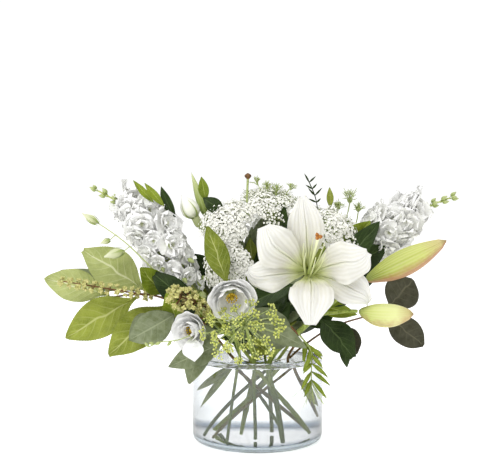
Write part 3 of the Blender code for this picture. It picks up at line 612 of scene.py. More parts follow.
def turned(heap, profile):
    """Turns a profile of (radius, height) round Z, with close rows beside each corner."""
    rows = [profile[0]]
    for start, end in zip(profile[:-1], profile[1:]):
        length = np.linalg.norm(end - start)
        if length > 3 * MM:
            step = (end - start) * (0.4 * MM / length)
            rows += [start + step, end - step]
        rows.append(end)
    rows = np.maximum(rows, [0.02 * MM, -1.0])
    angles = np.linspace(0, math.tau, 144, endpoint=False)
    around = spokes(np.array([1.0, 0, 0]), np.array([0, 1.0, 0]), angles)
    heap.grid(np.array([around * radius + UP * height for radius, height in rows]), closed=True)


def make_vase():
    """The glass cylinder, and the water that stands in it."""
    profile = rings_of("glass_vase")
    heap = Heap()
    turned(heap, profile)
    heap.form("glass cylinder", glass_material(), "clear_glass", "glass_vase", outward=True)
    # the water wets the glass: it laps into the wall a little and creeps up it at its edge
    lap, level = 0.08 * MM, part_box("water")[1].z
    inside = profile[int(np.argmax(profile[:, 1])):]
    inside = inside[(inside[:, 1] < level - 2 * MM) & (inside[:, 0] < inside[:, 0].max())][::-1]
    wall = inside[:, 0].max()
    edge = [(wall - 4 * MM, level), (wall - 1.6 * MM, level + 0.2 * MM),
            (wall - 0.5 * MM, level + 0.8 * MM), (wall + lap, level + 1.5 * MM),
            (wall + lap, level - 2 * MM)]
    floor = [(r + (lap if r > wall * 0.9 else 0), z - (lap if r < wall * 0.999 else 0)) for r, z in inside]
    heap = Heap()
    turned(heap, np.array([(0, floor[0][1]), *floor, *reversed(edge), (0, level)]))
    heap.form("water in the vase", water_material(), "water", "water", outward=True)


# ---------------------------------------------------------------- stems
def make_stem(name, node, material, slot, joints, wander=0.25):
    """A stem along a CAD stem, with swollen joints at shares of its length."""
    count, known = 60, 26
    line, radii = spine_of(node, known)
    line = flow(line, count)
    radii = np.interp(np.linspace(0, known - 1, count), range(known), eased(radii, 3))
    share = np.linspace(0, 1, count)
    for joint in joints:
        radii = radii * (1 + 0.22 * np.exp(-((share - joint) / 0.008) ** 2))
    bend = np.column_stack([ripple(share, seed, 4) for seed in (len(name), len(name) + 1, 2)])
    line = line + bend * (wander * MM) * np.sin(share * math.pi)[:, None]
    heap = Heap()
    # a cut stem is slimmer than the solid that stands for it
    heap.rod(line, radii * 0.74, 14)
    heap.form(name, material, slot, node)


def rounded_copy(name, node, material, slot):
    """A branched stem: the CAD node's own outline, rounded off."""
    places, _ = mesh_of(node)
    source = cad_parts[node].data
    keys = {tuple(np.round(place / (0.002 * MM)).astype(int)): i for i, place in enumerate(places)}
    found = [keys[tuple(np.round(np.array(vert.co, float) / (0.002 * MM)).astype(int))]
             for vert in source.vertices]
    faces = [[found[i] for i in face.vertices] for face in source.polygons]
    mesh = bpy.data.meshes.new(name)
    mesh.from_pydata([tuple(place) for place in places], [], [f for f in faces if len(set(f)) == len(f)])
    mesh.shade_smooth()
    present(bpy.data.objects.new(name, mesh), material, slot, node, smooth=2)


# ---------------------------------------------------------------- the lily
def lily_petal_material():
    """Waxy warm-white petal: grooved ribs, a green-yellow throat that fades along the midrib."""
    material, add = new_material("lily_petal")
    along, out, offset = along_across(add)
    # the green-yellow throat is the petal's own colour; the grey-beige after it, which darkens the petal
    # towards the throat, is painted shade
    throat = add("ValToRGB", along,
                 stops=[(0.03, "#b3bd62"), (0.15, "#d3d8a0"), (0.38, "#d6d4ca"), (1.0, "#e6e6e3")])
    # the midrib stays faintly green for more than half of the petal
    fading = add("MapRange", along, 0.1, 0.75, 0.75, 0.0)
    midrib = add("Math/MULTIPLY", line_at(add, out, 0.02, 0.16), fading)
    shade = add("Mix/RGBA", midrib, throat, "#cdd594")
    waver = add("Math/MULTIPLY", grain(add, 9 * MM), 0.08)
    ribs = ribbing(add, add("Math/ADD", offset, waver), 19)
    # the ribs are tinted grey-beige: partly their own tint, partly painted shade along the ribbing
    shade = add("Mix/RGBA", add("Math/MULTIPLY", ribs, 0.34), shade, "#c6c3b4")
    shade = add("Mix/RGBA", add("Math/MULTIPLY", grain(add, 5 * MM), 0.10), shade, "#d9d6c2")
    relief = add("Math/ADD", ribs, add("Math/MULTIPLY", grain(add, 0.7 * MM), 0.3))
    bump = add("Bump", {"Strength": 0.3, "Distance": 0.35 * MM, "Height": relief})
    finished(add, {"Base Color": shade, "Roughness": 0.45, "IOR": 1.42, "Normal": bump,
                   "Specular IOR Level": 0.4, "Subsurface Weight": 0.12,
                   "Subsurface Radius": (1.0, 0.92, 0.6), "Subsurface Scale": 2 * MM})
    return material


def make_lily_petal(name, node, material, ruffle, seed):
    """A petal with a raised double midrib, soft ribs, a ruffled edge and a small hooked point."""
    rows, lanes = 90, 61
    left, middle, right = sheet_of(node, "lily_stem", 30)
    heart = mesh_of("lily_stamens")[0]
    heart = heart[np.argsort(-heart @ FRONT)[-30:]].mean(0)
    toward = unit(middle[0] - heart)
    side = unit(right[3] - left[3])
    claw = heart + toward * 1.5 * MM - FRONT * 1.0 * MM
    left, middle, right = (np.vstack([claw + side * way * 2.5 * MM, run[2:]])
                           for way, run in ((-1, left), (0, middle), (1, right)))
    runs = ((left, 5), (middle, 2), (right, 5))
    left, middle, right = (flow(eased(run, passes), rows) for run, passes in runs)
    u, v = shares(rows, lanes)
    places, normals = outlined(left, middle, right, lanes)
    inside = np.sin(np.clip(u * 1.02, 0, 1) * math.pi) ** 0.6
    double_rib = np.exp(-((np.abs(v) - 0.09) / 0.055) ** 2) - 1.2 * np.exp(-(v / 0.05) ** 2)
    relief = 2.3 * double_rib * (1 - u) ** 0.5
    relief += 0.35 * np.cos(v * math.pi * 8) * np.exp(-(v * 0.8) ** 2) * inside
    relief += 1.5 * np.cos(v * math.pi * 2.6 + 0.8 * ripple(u, seed + 3, 1.2)) * inside * (0.3 + 0.7 * u)
    relief += 1.5 * ruffle * np.abs(v) ** 3 * ripple(u + 0.2 * np.sign(v), seed, 2.6) * inside
    relief -= 55 * np.maximum(0, u - 0.8) ** 2
    relief -= 3.4 * np.abs(v) ** 3 * inside
    places = places + normals * (relief * MM)[..., None]
    heap = Heap()
    heap.grid(places, 0.5)
    heap.form(name, material, "lily_petal", node, thickness=0.8 * MM)


def make_lily_heart(pale):
    """The long style with its three-lobed stigma, and six filaments without anthers."""
    line, _ = spine_of("lily_pistil", 14)
    foot, _ = spine_of("lily_stem", 30)
    if np.linalg.norm(line[0] - foot[-1]) > np.linalg.norm(line[-1] - foot[-1]):
        line = line[::-1]
    axis = unit(line[-1] - line[0])
    heap = Heap()
    way = flow(line, 40)
    share = np.linspace(0, 1, 40)
    heap.rod(way, MM * (1.15 + 1.5 * np.exp(-(share / 0.16) ** 2) + 0.9 * share ** 6), 20, 0.3)
    places, _ = mesh_of("lily_stamens")
    height = (places - line[0]) @ axis
    first, second = across(axis, UP)
    flat = places - line[0] - np.outer(height, axis)
    turn = np.degrees(np.arctan2(flat @ second, flat @ first)) % 360
    upper = height > height.max() * 0.5
    starts = np.sort(turn[upper])
    gaps = np.flatnonzero(np.diff(np.append(starts, starts[0] + 360)) > 15)
    for gap in gaps:
        middle_turn = starts[gap] - 4
        mine = upper & (np.abs((turn - middle_turn + 180) % 360 - 180) < 25)
        tip = places[mine][np.argmax(height[mine])]
        out = unit(flat[mine].mean(0))
        start = line[0] + out * 4.2 * MM - axis * 1.5 * MM
        bow = 0.5 * (start + tip) + out * 2 * MM
        heap.rod(flow([start, bow, tip], 24), MM * np.linspace(1.15, 0.35, 24), 12, 0.8)
    heap.form("lily style and filaments", pale, "lily_pistil", "lily_pistil", "lily_stamens")
    # a sticky rust-brown stigma, dull with a little shine
    rust = stem_material("stigma", "#8f4f1c", "#c98a3a", "#5f3515", 0.6, 1.0)
    heap = Heap()
    for i in range(3):
        ahead = aimed(axis, 1.05, math.tau * i / 3 + 0.4)
        bead(heap, line[-1] - axis * 0.6 * MM, unit(ahead + axis * 0.25), 5.6 * MM, 4.4 * MM, 0.5, 14)
    bead(heap, line[-1] - axis * 1.4 * MM, axis, 4.2 * MM, 4.6 * MM, 0.5, 14)
    heap.form("lily stigma", rust, "lily_pistil")


def make_lily_bud(name, node, material, seed, flush_and_shade):
    """A closed bud: three ribbed outer petals meet in grooves."""
    line, radii = body_of(node, "lily_stem", 24)
    count, sides = 90, 66
    line = flow(line, count)
    radii = np.interp(np.linspace(0, 23, count), range(24), eased(radii, 2))
    share = np.linspace(0, 1, count)
    radii = radii * np.where(share > 0.93, np.sqrt(np.clip((1 - share) / 0.07, 0.02, 1)), 1)
    radii *= np.where(share < 0.04, 0.6 + 10 * share, 1)
    axis = unit(line[-1] - line[0])
    line = line - np.outer(np.sin(share * math.pi), UP) * 2.2 * MM * np.sign(axis[0])
    first, second = across(axis, UP)
    angles = np.linspace(0, math.tau, sides, endpoint=False)
    seam = np.abs(((angles + seed + 0.5) / (math.tau / 3)) % 1 - 0.5) * 2
    shape = 1 + 0.07 * np.cos(3 * (angles + seed)) - 0.16 * np.maximum(0, 1 - (1 - seam) / 0.10)
    shape = shape - 0.035 * np.exp(-((seam) / 0.10) ** 2)
    out = spokes(first, second, angles)
    places = line[:, None] + out[None] * (radii[:, None] * (shape + 0.008 * np.cos(angles * 21)))[..., None]
    # the tone rises where the skin faces down; it lays on the underside flush, which is partly painted shade
    low = np.clip(0.5 - flush_and_shade * (out @ UP), 0, 1)[None, :] * np.ones((count, 1))
    heap = Heap()
    heap.grid(places, low, closed=True)
    heap.form(name, material, "lily_bud", node)


def lily_bud_material(name, foot, body, cheek):
    """Closed bud: yellow-green with paler ribs, a pinkish-brown flush on its underside that is partly its
    own colour and partly painted shade, and a brown tip.
    """
    material, add = new_material(name)
    along, _, offset = along_across(add)
    tone = add("Attribute", attribute_name="tone", out="Fac")
    skin = add("ValToRGB", along,
               stops=[(0.0, foot), (0.2, body), (0.7, cheek), (0.93, "#c2b274"), (1.0, "#8a6236")])
    ribs = ribbing(add, offset, 48)
    skin = add("Mix/RGBA", add("Math/MULTIPLY", ribs, 0.3), skin, "#d9d9a4")
    below = add("Math/ADD", tone, add("Math/MULTIPLY", grain(add, 8 * MM), 0.5))
    # the underside turns pinkish-brown: partly the bud's own flush, partly painted shade
    skin = add("Mix/RGBA", add("MapRange", below, 0.8, 1.2, 0.0, 0.85), skin, "#a9714f")
    bump = add("Bump", {"Strength": 0.4, "Distance": 0.4 * MM,
                        "Height": add("Math/ADD", ribs, grain(add, 1.2 * MM))})
    finished(add, {"Base Color": skin, "Roughness": 0.42, "IOR": 1.42, "Normal": bump,
                   "Subsurface Weight": 0.1, "Subsurface Radius": (0.8, 1.0, 0.4),
                   "Subsurface Scale": 2 * MM})
    return material


# ---------------------------------------------------------------- stock
def make_stock(side, count, petals, buds_green, seed):
    """A spike of ruffled double florets round its stem, and green buds towards the tip."""
    stem = f"stock_{side}_stem"
    line, radii = body_of(f"stock_{side}_florets", stem, 20)
    heap, cups = Heap(), Heap()
    draw = np.random.default_rng(seed)
    axis = unit(line[-1] - line[0])
    for i in range(count):
        share = (i + 0.4) / count
        centre = flow(line, 101)[int(share * 92)]
        reach = np.interp(share * 19, range(20), radii)
        out = aimed(axis, math.pi / 2, i * GOLDEN + draw.uniform(-0.3, 0.3))
        ahead = unit(out + axis * draw.uniform(0.15, 0.5) - UP * 0.05)
        size = MM * (20.0 - 6.0 * share) * draw.uniform(0.8, 1.2)
        place = centre + out * (reach * draw.uniform(0.85, 1.15) - size * 0.30)
        wide = draw.uniform(0.8, 1.1)
        rosette(heap, place, ahead, [(4, size * 1.08, size * 1.3, 92 * wide, -0.06, 0.26),
                                     (3, size * 0.85, size * 1.1, 70 * wide, -0.02, 0.36),
                                     (3, size * 0.55, size * 0.85, 46, 0.05, 0.42)], 0.5, seed + i)
        base = centre + out * 1.5 * MM - axis * 3 * MM
        stalk = [base, 0.5 * (base + place) - axis * MM, place - ahead * 2 * MM]
        cups.rod(flow(stalk, 6), 0.55 * MM, 6, 0.5)
        bead(cups, place - ahead * 7 * MM, ahead, 8 * MM, 4.6 * MM, 0.6, 8, (0.5, 0.9, 1.0, 0.9, 0.6))
    for i in range(14):
        share = 0.45 + 0.04 * i
        centre = flow(line, 101)[int(share * 100)]
        out = aimed(axis, 1.1, i * GOLDEN + 1)
        reach = np.interp(share * 19, range(20), radii)
        bead(cups, centre + out * reach * 0.9, unit(out + axis), 10 * MM, 5.5 * MM, 0.5, 10,
             (0.5, 0.9, 1.0, 0.85, 0.5, 0.2))
    heap.form(f"stock florets {side}", petals, "white_petal", f"stock_{side}_florets")
    way, _ = spine_of(stem, 40)
    start = int(np.argmin(np.linalg.norm(way - line[-1], axis=1))) - 3
    tip = flow(way[max(start, 4):], 15)
    for i, place in enumerate(tip):
        ahead_of = unit(tip[min(i + 1, 14)] - tip[max(i - 1, 0)])
        for j in range(3):
            out = aimed(ahead_of, 1.05 - 0.04 * i, (3 * i + j) * GOLDEN + seed)
            size = MM * (12.5 - 0.34 * i) * draw.uniform(0.8, 1.1)
            foot = place + out * 10 * MM * (1 - i / 22)
            cups.rod([place, 0.5 * (place + foot) - UP * 0.4 * MM, foot], 0.45 * MM, 6, 0.5)
            bead(cups, foot, unit(out + ahead_of * 0.4), size, size * 0.6, 0.4 + 0.04 * i, 8,
                 (0.6, 0.95, 1.0, 0.85, 0.5, 0.2))
    cups.form(f"stock buds {side}", buds_green, "flower_bud", f"stock_{side}_florets")


# ---------------------------------------------------------------- lisianthus
def cupped(radius, height, turn, half, flare, seed):
    """A broad petal that curves up round a flower's axis, one edge lapped over its neighbour."""
    u, v = shares(26, 27)
    s = u * (1 - 0.20 * np.abs(v) ** 2.6 + 0.03 * ripple(v * 0.5, seed, 2))
    angle = turn + v * half * (0.45 + 0.55 * np.sqrt(s))
    lip = np.maximum(0, s - 0.6) / 0.4
    edge = np.maximum(lip, np.abs(v) ** 3) * s
    out = radius * (np.sin(s * math.pi / 2) ** 0.8 * (1 + 0.05 * v) + flare * lip ** 2
                    + 0.045 * edge * ripple(v * 0.6 + 0.2 * u, seed + 1, 2.2))
    up = height * ((1 - np.cos(s * math.pi / 2)) ** 0.8 - 0.35 * max(flare, 0) * lip ** 2
                   + 0.05 * edge * ripple(v * 0.5, seed + 2, 2.6))
    return np.stack([out * np.cos(angle), out * np.sin(angle), up], -1)


def make_bloom(side, petals, greens, seed):
    """An open rose-like bloom: whorls of broad ruffled petals round a small yellow eye."""
    node = f"lisianthus_bloom_{side}"
    owner = "lisianthus_back_stem" if side == "back" else "lisianthus_stem"
    places, _ = mesh_of(node)
    stem, _ = mesh_of(owner)
    gaps = np.array([np.min(np.linalg.norm(stem - place, axis=1)) for place in places])
    foot = places[gaps < gaps.min() + 1.5 * MM].mean(0)
    axis = unit(places.mean(0) - foot)
    height = (places - foot) @ axis
    reach = np.linalg.norm(places - foot - np.outer(height, axis), axis=1).max()
    depth = height.max()
    heap = Heap()
    whorls = [(5, 0.84, 0.66, 64, 0.20), (4, 0.76, 0.78, 70, 0.12), (4, 0.62, 0.84, 66, 0.05)]
    if side != "right":
        whorls = [(5, 0.86, 0.80, 64, 0.18), (4, 0.74, 0.92, 70, 0.10), (4, 0.52, 0.96, 66, 0.0),
                  (3, 0.33, 0.94, 80, -0.06)]
    for ring, (number, wide, tall, share, flare) in enumerate(whorls):
        for i in range(number):
            key = seed * 101 + ring * 17 + i
            draw = np.random.default_rng(key)
            turn = math.tau * (i + 0.43 * ring) / number + draw.uniform(-0.15, 0.15)
            shape = cupped(wide * reach * draw.uniform(0.96, 1.04), tall * depth * draw.uniform(0.94, 1.06),
                           turn, math.radians(share), flare, key)
            first, second = across(axis, UP)
            heap.grid(foot + axis * 0.08 * depth + shape[..., :1] * first + shape[..., 1:2] * second
                      + shape[..., 2:] * axis, draw.uniform(0.3, 0.7))
    if side == "left":
        # one outer petal hangs
        shape = petal_shape(27 * MM, 23 * MM, 22, 19, 0.62, 0.10, 0.16, 0.06, 2, 5)
        heap.grid(placed(shape, foot + axis * 0.5 * depth - UP * 0.3 * reach + FRONT * 6 * MM,
                         unit(-UP + 0.25 * FRONT + np.array([0.12, 0, 0])), FRONT), 0.5)
    heap.form(f"lisianthus bloom {side}", petals, "white_petal", node)
    eye = Heap()
    centre = foot + axis * 0.34 * depth
    bead(eye, centre - axis * 2 * MM, axis, 11 * MM, 6.5 * MM, 0.3, 14, (0.7, 1.0, 0.9, 0.5, 0.45, 0.7))
    for i in range(12):
        out = aimed(axis, 0.75, math.tau * i / 12)
        end = centre + out * 8 * MM
        eye.rod([centre, centre + out * 4 * MM, end], 0.45 * MM, 6, 0.6)
        bead(eye, end - axis * MM, axis, 3.4 * MM, 2.4 * MM, 1.0, 8)
    # powdery yellow stamens, quite dull
    pollen = stem_material(f"lisianthus_eye_{side}", "#a98f1e", "#e6c53c", "#4a3d14", 0.6, 1.0)
    eye.form(f"lisianthus eye {side}", pollen, "flower_bud", node)
    cup = Heap()
    for i in range(5):
        ahead = aimed(axis, 0.75, math.tau * i / 5 + 0.3)
        shape = petal_shape(13 * MM, 3.4 * MM, 9, 5, 0.3, 0.2, 0.12, 0.0, 1, i, 1.0)
        cup.grid(placed(shape, foot - axis * 2.2 * MM, ahead, axis), 0.4)
    bead(cup, foot - axis * 4 * MM, axis, 7 * MM, 5 * MM, 0.5, 12, (0.45, 0.8, 1.0, 0.9))
    cup.form(f"lisianthus calyx {side}", greens, "flower_bud", node, thickness=THIN_LEAF)


def make_twig_bud(name, node, green, white, width, pitch, pale):
    """A thin twig that ends in a long bud: furled petals wound round each other in narrow sepals."""
    line, radii = spine_of(node, 44)
    thin = np.median(radii[:12])
    swell = int(np.argmax(radii > thin * 1.7))
    heap = Heap()
    heap.rod(flow(line[:swell + 1], 40), thin * 0.95, 10, 0.4)
    base, tip = line[swell], line[-1]
    axis = unit(tip - base)
    length = np.linalg.norm(tip - base) * 1.03
    first, second = across(axis, UP)
    count, sides = 48, 40
    share = np.linspace(0, 1, count)
    angles = np.linspace(0, math.tau, sides, endpoint=False)
    body = np.sin(np.clip(share * 1.02, 0, 1) ** 0.75 * math.pi) ** 0.8 * (1 - 0.25 * share) + 0.04
    winding = 1 + 0.10 * np.abs(np.sin(angles[None] * 2.5 + share[:, None] * pitch))
    out = spokes(first, second, angles)
    spread = (width * body[:, None] * winding)[..., None]
    furled = Heap()
    furled.grid(base + axis * (length * share)[:, None, None] + out[None] * spread, pale, closed=True)
    furled.form(name + " petals", white, "flower_bud", node)
    for i in range(5):
        turn = math.tau * i / 5
        rise = np.linspace(0, 0.75, 14)
        side = math.cos(turn) * first + math.sin(turn) * second
        girth = np.sin(np.clip(rise, 0.02, 1) ** 0.75 * math.pi) ** 0.8 * (1 - 0.25 * rise) + 0.1
        hug = width * girth * 1.1
        spine = base + axis * (length * rise)[:, None] + side * hug[:, None]
        across_it = np.cross(axis, side)
        wide = np.linspace(1.6, 0.15, 14)[:, None, None] * MM * np.linspace(-1, 1, 5)[None, :, None]
        heap.grid(spine[:, None] + wide * across_it, 0.4)
    heap.form(name + " twig", green, "flower_bud", node)


def make_bud_spray(green, white):
    """Thin forking twigs with two furled buds and a small green one."""
    line, _ = spine_of("lisianthus_bud_spray", 40)
    heap, furled = Heap(), Heap()
    heap.rod(flow(line, 60), np.linspace(1.2, 0.7, 60) * MM, 10, 0.4)
    forks = ((39, 23, 9.0, -1), (30, 25, 12.0, 1), (34, 13, 6.0, 1))
    for at, length, width, way in forks:
        ahead_of = unit(line[min(at + 1, 39)] - line[at - 2])
        out = unit(ahead_of + 0.9 * way * UP * (at < 39) * -1.0 + FRONT * 0.25)
        foot = line[at] + out * (0 if at == 39 else 9 * MM)
        heap.rod(flow([line[at], line[at] + ahead_of * 3 * MM, foot], 10), 0.6 * MM, 8, 0.4)
        bead(furled, foot, out, length * MM, width * MM, 0.4, 20,
             (0.25, 0.7, 0.95, 1.0, 0.85, 0.6, 0.35, 0.15))
        for i in range(5):
            ahead = aimed(out, 0.14, math.tau * i / 5)
            shape = petal_shape(length * 0.7 * MM, 2.4 * MM, 9, 5, 0.3, 0.2, 0.10, 0.0, 1, i, 1.0)
            start = foot + aimed(out, 1.57, math.tau * i / 5) * width * 0.25 * MM
            heap.grid(placed(shape, start, ahead, -out), 0.4)
    heap.form("lisianthus bud spray", green, "flower_bud", "lisianthus_bud_spray")
    furled.form("lisianthus spray buds", white, "flower_bud", "lisianthus_bud_spray")


# ---------------------------------------------------------------- lace flowers
def lace_stem(name, node, stems):
    """Makes a lace flower's stem; gives its tip, its axis, and the head's radius and reach."""
    line, radii = spine_of(node, 50)
    stalk = np.median(radii[:20])
    neck = int(np.argmax(radii > stalk * 2.2))
    places, _ = mesh_of(node)
    back = max(neck - 8, 0)
    axis = unit(line[neck] - line[back])
    height = (places - line[neck]) @ axis
    wide = np.linalg.norm(places - line[neck] - np.outer(height, axis), axis=1)[height > 0].max()
    stem = Heap()
    stem.rod(flow(line[:neck + 1], 40), stalk * 0.9, 10)
    stem.form(name + " stem", stems, "green_stem", node)
    return line[neck], axis, wide, height.max()


def umbellet(heap, rays, place, axis, spread, count, radius, tone, seed, petals=5):
    """A small cluster of florets on hair-thin stalks."""
    for share, turn in spiral_dome(count, seed):
        draw = np.random.default_rng(int(abs(share * 977 + turn * 131)))
        ahead = aimed(axis, share * 1.25, turn + draw.uniform(-0.3, 0.3))
        end = place + ahead * spread * draw.uniform(0.62, 1.12) + axis * spread * 0.1
        rays.rod([place, end], 0.16 * MM, 4, tone, rounded=False)
        if petals:
            floret(heap, end, unit(ahead + axis), radius, petals, tone, turn)
        else:
            bead(heap, end - ahead * radius * 0.5, ahead, radius * 1.7, radius * 1.5, tone, 7)


def make_lace(part, florets, greens, stems, clusters, nodding, seed):
    """A lace flower: its stem, bare rays opening from one point, a white cluster on each."""
    name, node = f"white lace {part}", f"white_lace_{part}"
    tip, axis, wide, reach = lace_stem(name, node, stems)
    heap, rays = Heap(), Heap()
    draw = np.random.default_rng(seed)
    # the head nods to the side that it is seen from
    nod = unit(axis + nodding * (FRONT if part != "back" else -FRONT))
    for share, turn in spiral_dome(clusters, seed):
        share = share * draw.uniform(0.9, 1.08)
        radial = aimed(nod, math.pi / 2, turn)
        end = tip + nod * reach * (0.95 - 0.5 * share ** 2) * draw.uniform(0.85, 1.1)
        end = end + radial * wide * share
        ahead = unit(end - tip)
        rays.rod(flow([tip, tip + unit(ahead + axis) * reach * 0.35, end], 10),
                 np.linspace(0.5, 0.3, 10) * MM, 6, 0.5)
        umbellet(heap, rays, end - ahead * 2 * MM, unit(ahead + nod * 0.6), wide * draw.uniform(0.28, 0.42),
                 52, draw.uniform(1.5, 2.2) * MM, draw.uniform(0.2, 0.9), turn)
    heap.form(name + " florets", florets, "white_lace", node)
    rays.form(name + " rays", greens, "white_lace", node)


def make_green_lace(florets, greens, stems):
    """The wide green lace head in front: long rays, each with a loose ball of tiny green buds."""
    node = "green_lace"
    tip, axis, wide, reach = lace_stem("green lace", node, stems)
    heap, rays = Heap(), Heap()
    draw = np.random.default_rng(5)
    for share, turn in spiral_dome(30, 0.6):
        share = share * draw.uniform(0.85, 1.08)
        radial = aimed(axis, math.pi / 2, turn)
        end = tip + axis * reach * draw.uniform(0.45, 0.95) * (1 - 0.3 * share) + radial * wide * share
        # the head is flatter than a dome, and hangs a little
        end = end * [1, 1, 0.86] + tip * [0, 0, 0.14] - UP * wide * 0.30
        ahead = unit(end - tip)
        rays.rod(flow([tip, tip + unit(ahead + axis) * wide * 0.3, end], 12),
                 np.linspace(0.7, 0.45, 12) * MM, 6, 0.5)
        umbellet(heap, rays, end - ahead * 2 * MM, ahead, wide * draw.uniform(0.12, 0.19), 16,
                 draw.uniform(1.3, 1.8) * MM, draw.uniform(0.1, 0.9), turn, petals=0)
    heap.form("green lace buds", florets, "green_lace", node)
    rays.form("green lace rays", greens, "green_lace", node)


# ---------------------------------------------------------------- seeded eucalyptus
def make_seeds(name, node, owner, twig, seeds, per_row, rows, seed, spread=1.0):
    """Branchlets round a brown twig, each with a few small top-shaped seed buds."""
    line, radii = body_of(node, owner, 20)
    heap, wood = Heap(), Heap()
    wood.rod(flow(line, 40), np.linspace(1.1, 0.6, 40) * MM, 10)
    draw = np.random.default_rng(seed)
    for i in range(rows):
        share = (i + 0.5) / rows
        place = flow(line, 101)[int(share * 100)]
        reach = np.interp(share * 19, range(20), radii)
        axis = unit(line[-1] - line[0])
        for j in range(per_row):
            out = aimed(axis, draw.uniform(0.8, 1.4), (i * per_row + j) * GOLDEN)
            fork = place + out * max(reach, 4 * MM) * draw.uniform(0.4, 0.9) * spread
            wood.rod([place, fork], 0.4 * MM, 6)
            for k in range(4):
                ahead = aimed(out, 0.6, k * math.tau / 4 + i)
                bead(heap, fork + ahead * 0.6 * MM, ahead, draw.uniform(4.0, 5.6) * MM,
                     draw.uniform(2.7, 3.6) * MM, draw.uniform(0, 1), 9,
                     (0.25, 0.6, 0.95, 1.0, 0.9, 0.35, 0.2))
    heap.form(name + " seed buds", seeds, "seeds", node)
    wood.form(name + " twig", twig, "seeds", node)


# ---------------------------------------------------------------- small pieces that only the looks have
def spot(x, y, up):
    """A place in millimetres from the middle of the vase's mouth."""
    return np.array([x, y, up]) * MM + UP * RIM


def small_leaf(heap, foot, tip, width, facing, tone, seed, fold, bow, rows, lanes):
    """A small leaf from its foot to its tip, its face to facing."""
    widest = 0.45
    length = np.linalg.norm(tip - foot)
    u, v = shares(rows, lanes)
    half = width / 2 * np.where(u < widest, np.sin(u / widest * math.pi / 2) ** 0.8,
                                np.cos((u - widest) / (1 - widest) * math.pi / 2) ** 0.9)
    half = np.maximum(half, 0.5 * MM * (u < 0.15) + 0.05 * MM)
    z = bow * length * np.sin(u * math.pi) + fold * np.abs(v) * half * 2
    z = z + 0.05 * width * np.abs(v) ** 2 * ripple(u + 0.2 * np.sign(v), seed, 2)
    shape = np.stack([v * half, length * u + 0 * v, z], -1)
    heap.grid(placed(shape, foot, unit(tip - foot), facing), tone)


def make_trailing_sprig(leafy, greens):
    """A sprig hanging over the rim: narrow leaves in pairs and a tuft of hair-fine ones."""
    places, _ = mesh_of("trailing_sprig")
    stem, _ = mesh_of("eucalyptus_stem")
    gaps = [np.min(np.linalg.norm(stem - place, axis=1)) for place in places]
    line, _ = spine_of("trailing_sprig", 40, places[int(np.argmin(gaps))])
    heap, leaves = Heap(), Heap()
    heap.rod(flow(line, 60), np.linspace(1.1, 0.6, 60) * MM, 10)
    draw = np.random.default_rng(3)
    for i, at in enumerate(range(12, 39, 4)):
        for way in (-1, 1):
            out = unit(np.array([0.25 + way * draw.uniform(0.2, 0.7), -0.3, draw.uniform(-1.3, -0.2)]))
            length = draw.uniform(14, 28) * MM
            small_leaf(leaves, line[at], line[at] + out * length, 4.4 * MM, FRONT + 0.4 * UP,
                       draw.uniform(0.2, 0.9), i, 0.2, 0.12, 22, 7)
    for i in range(22):
        out = unit(np.array([draw.uniform(-0.9, 0.9), -draw.uniform(0.0, 0.5), -draw.uniform(0.3, 1.0)]))
        end = line[-1] + out * draw.uniform(12, 26) * MM
        bend = 0.5 * (line[-1] + end) + np.array([0, 0, -3 * MM]) * draw.uniform(-1, 1)
        heap.rod(flow([line[-3], bend, end], 9), 0.22 * MM, 5)
    heap.form("trailing sprig stem", greens, "flower_bud", "trailing_sprig")
    leaves.form("trailing sprig leaves", leafy, "eucalyptus_leaf", "trailing_sprig", thickness=THIN_LEAF)


def make_filler(deep, mid, grey):
    """The leafy mass inside the bouquet: leaves that fan out of the mouth behind the flowers."""
    heaps = (Heap(), Heap(), Heap())
    draw = np.random.default_rng(12)
    groups = ((95, spot(12, 14, 84), (104, 66), FRONT), (60, spot(0, 42, 64), (100, 62), -FRONT))
    for count, centre, (wide, tall), facing in groups:
        for i, (share, turn) in enumerate(spiral_dome(count, 0.3)):
            tip = centre + np.array([wide * share * math.cos(turn), 0, tall * share * math.sin(turn)]) * MM
            tip = tip + facing * MM * draw.uniform(-14, 16) + UP * MM * draw.uniform(-4, 4)
            root = spot(0, 8, 6) + (tip - spot(0, 8, 6)) * [0.3, 0.2, 0.5]
            length = draw.uniform(38, 58) * MM
            foot = tip - unit(tip - root + 0.5 * UP * MM) * length
            lean = np.array([draw.uniform(-0.5, 0.5), 0, draw.uniform(0.0, 0.7)])
            small_leaf(heaps[(i * 7 + i // 3) % 3], foot, tip, draw.uniform(17, 27) * MM, facing + lean,
                       draw.uniform(0, 1), i, draw.uniform(0.05, 0.25), draw.uniform(-0.04, 0.14), 20, 9)
    heaps[0].form("filler leaves deep", deep, "dark_leaf", thickness=THIN_LEAF)
    heaps[1].form("filler leaves fresh", mid, "salal_leaf", thickness=THIN_LEAF)
    heaps[2].form("filler leaves grey", grey, "eucalyptus_leaf", thickness=THIN_LEAF)


def feathery(heap, foot, ahead, length, threads, seed):
    """A spray of thread-fine forked leaves from one point."""
    thick = 0.3
    draw = np.random.default_rng(seed)
    for i in range(threads):
        way = aimed(ahead, draw.uniform(0.1, 1.0), i * GOLDEN)
        end = foot + way * length * draw.uniform(0.6, 1.0)
        bend = 0.5 * (foot + end) + ahead * length * 0.12
        heap.rod(flow([foot, bend, end], 8), thick * MM, 5, draw.uniform(0.2, 0.8))
        for side in (-1, 1):
            fork = aimed(way, 0.6, i + side)
            heap.rod([bend, bend + fork * length * 0.3], thick * 0.7 * MM, 5, 0.5)


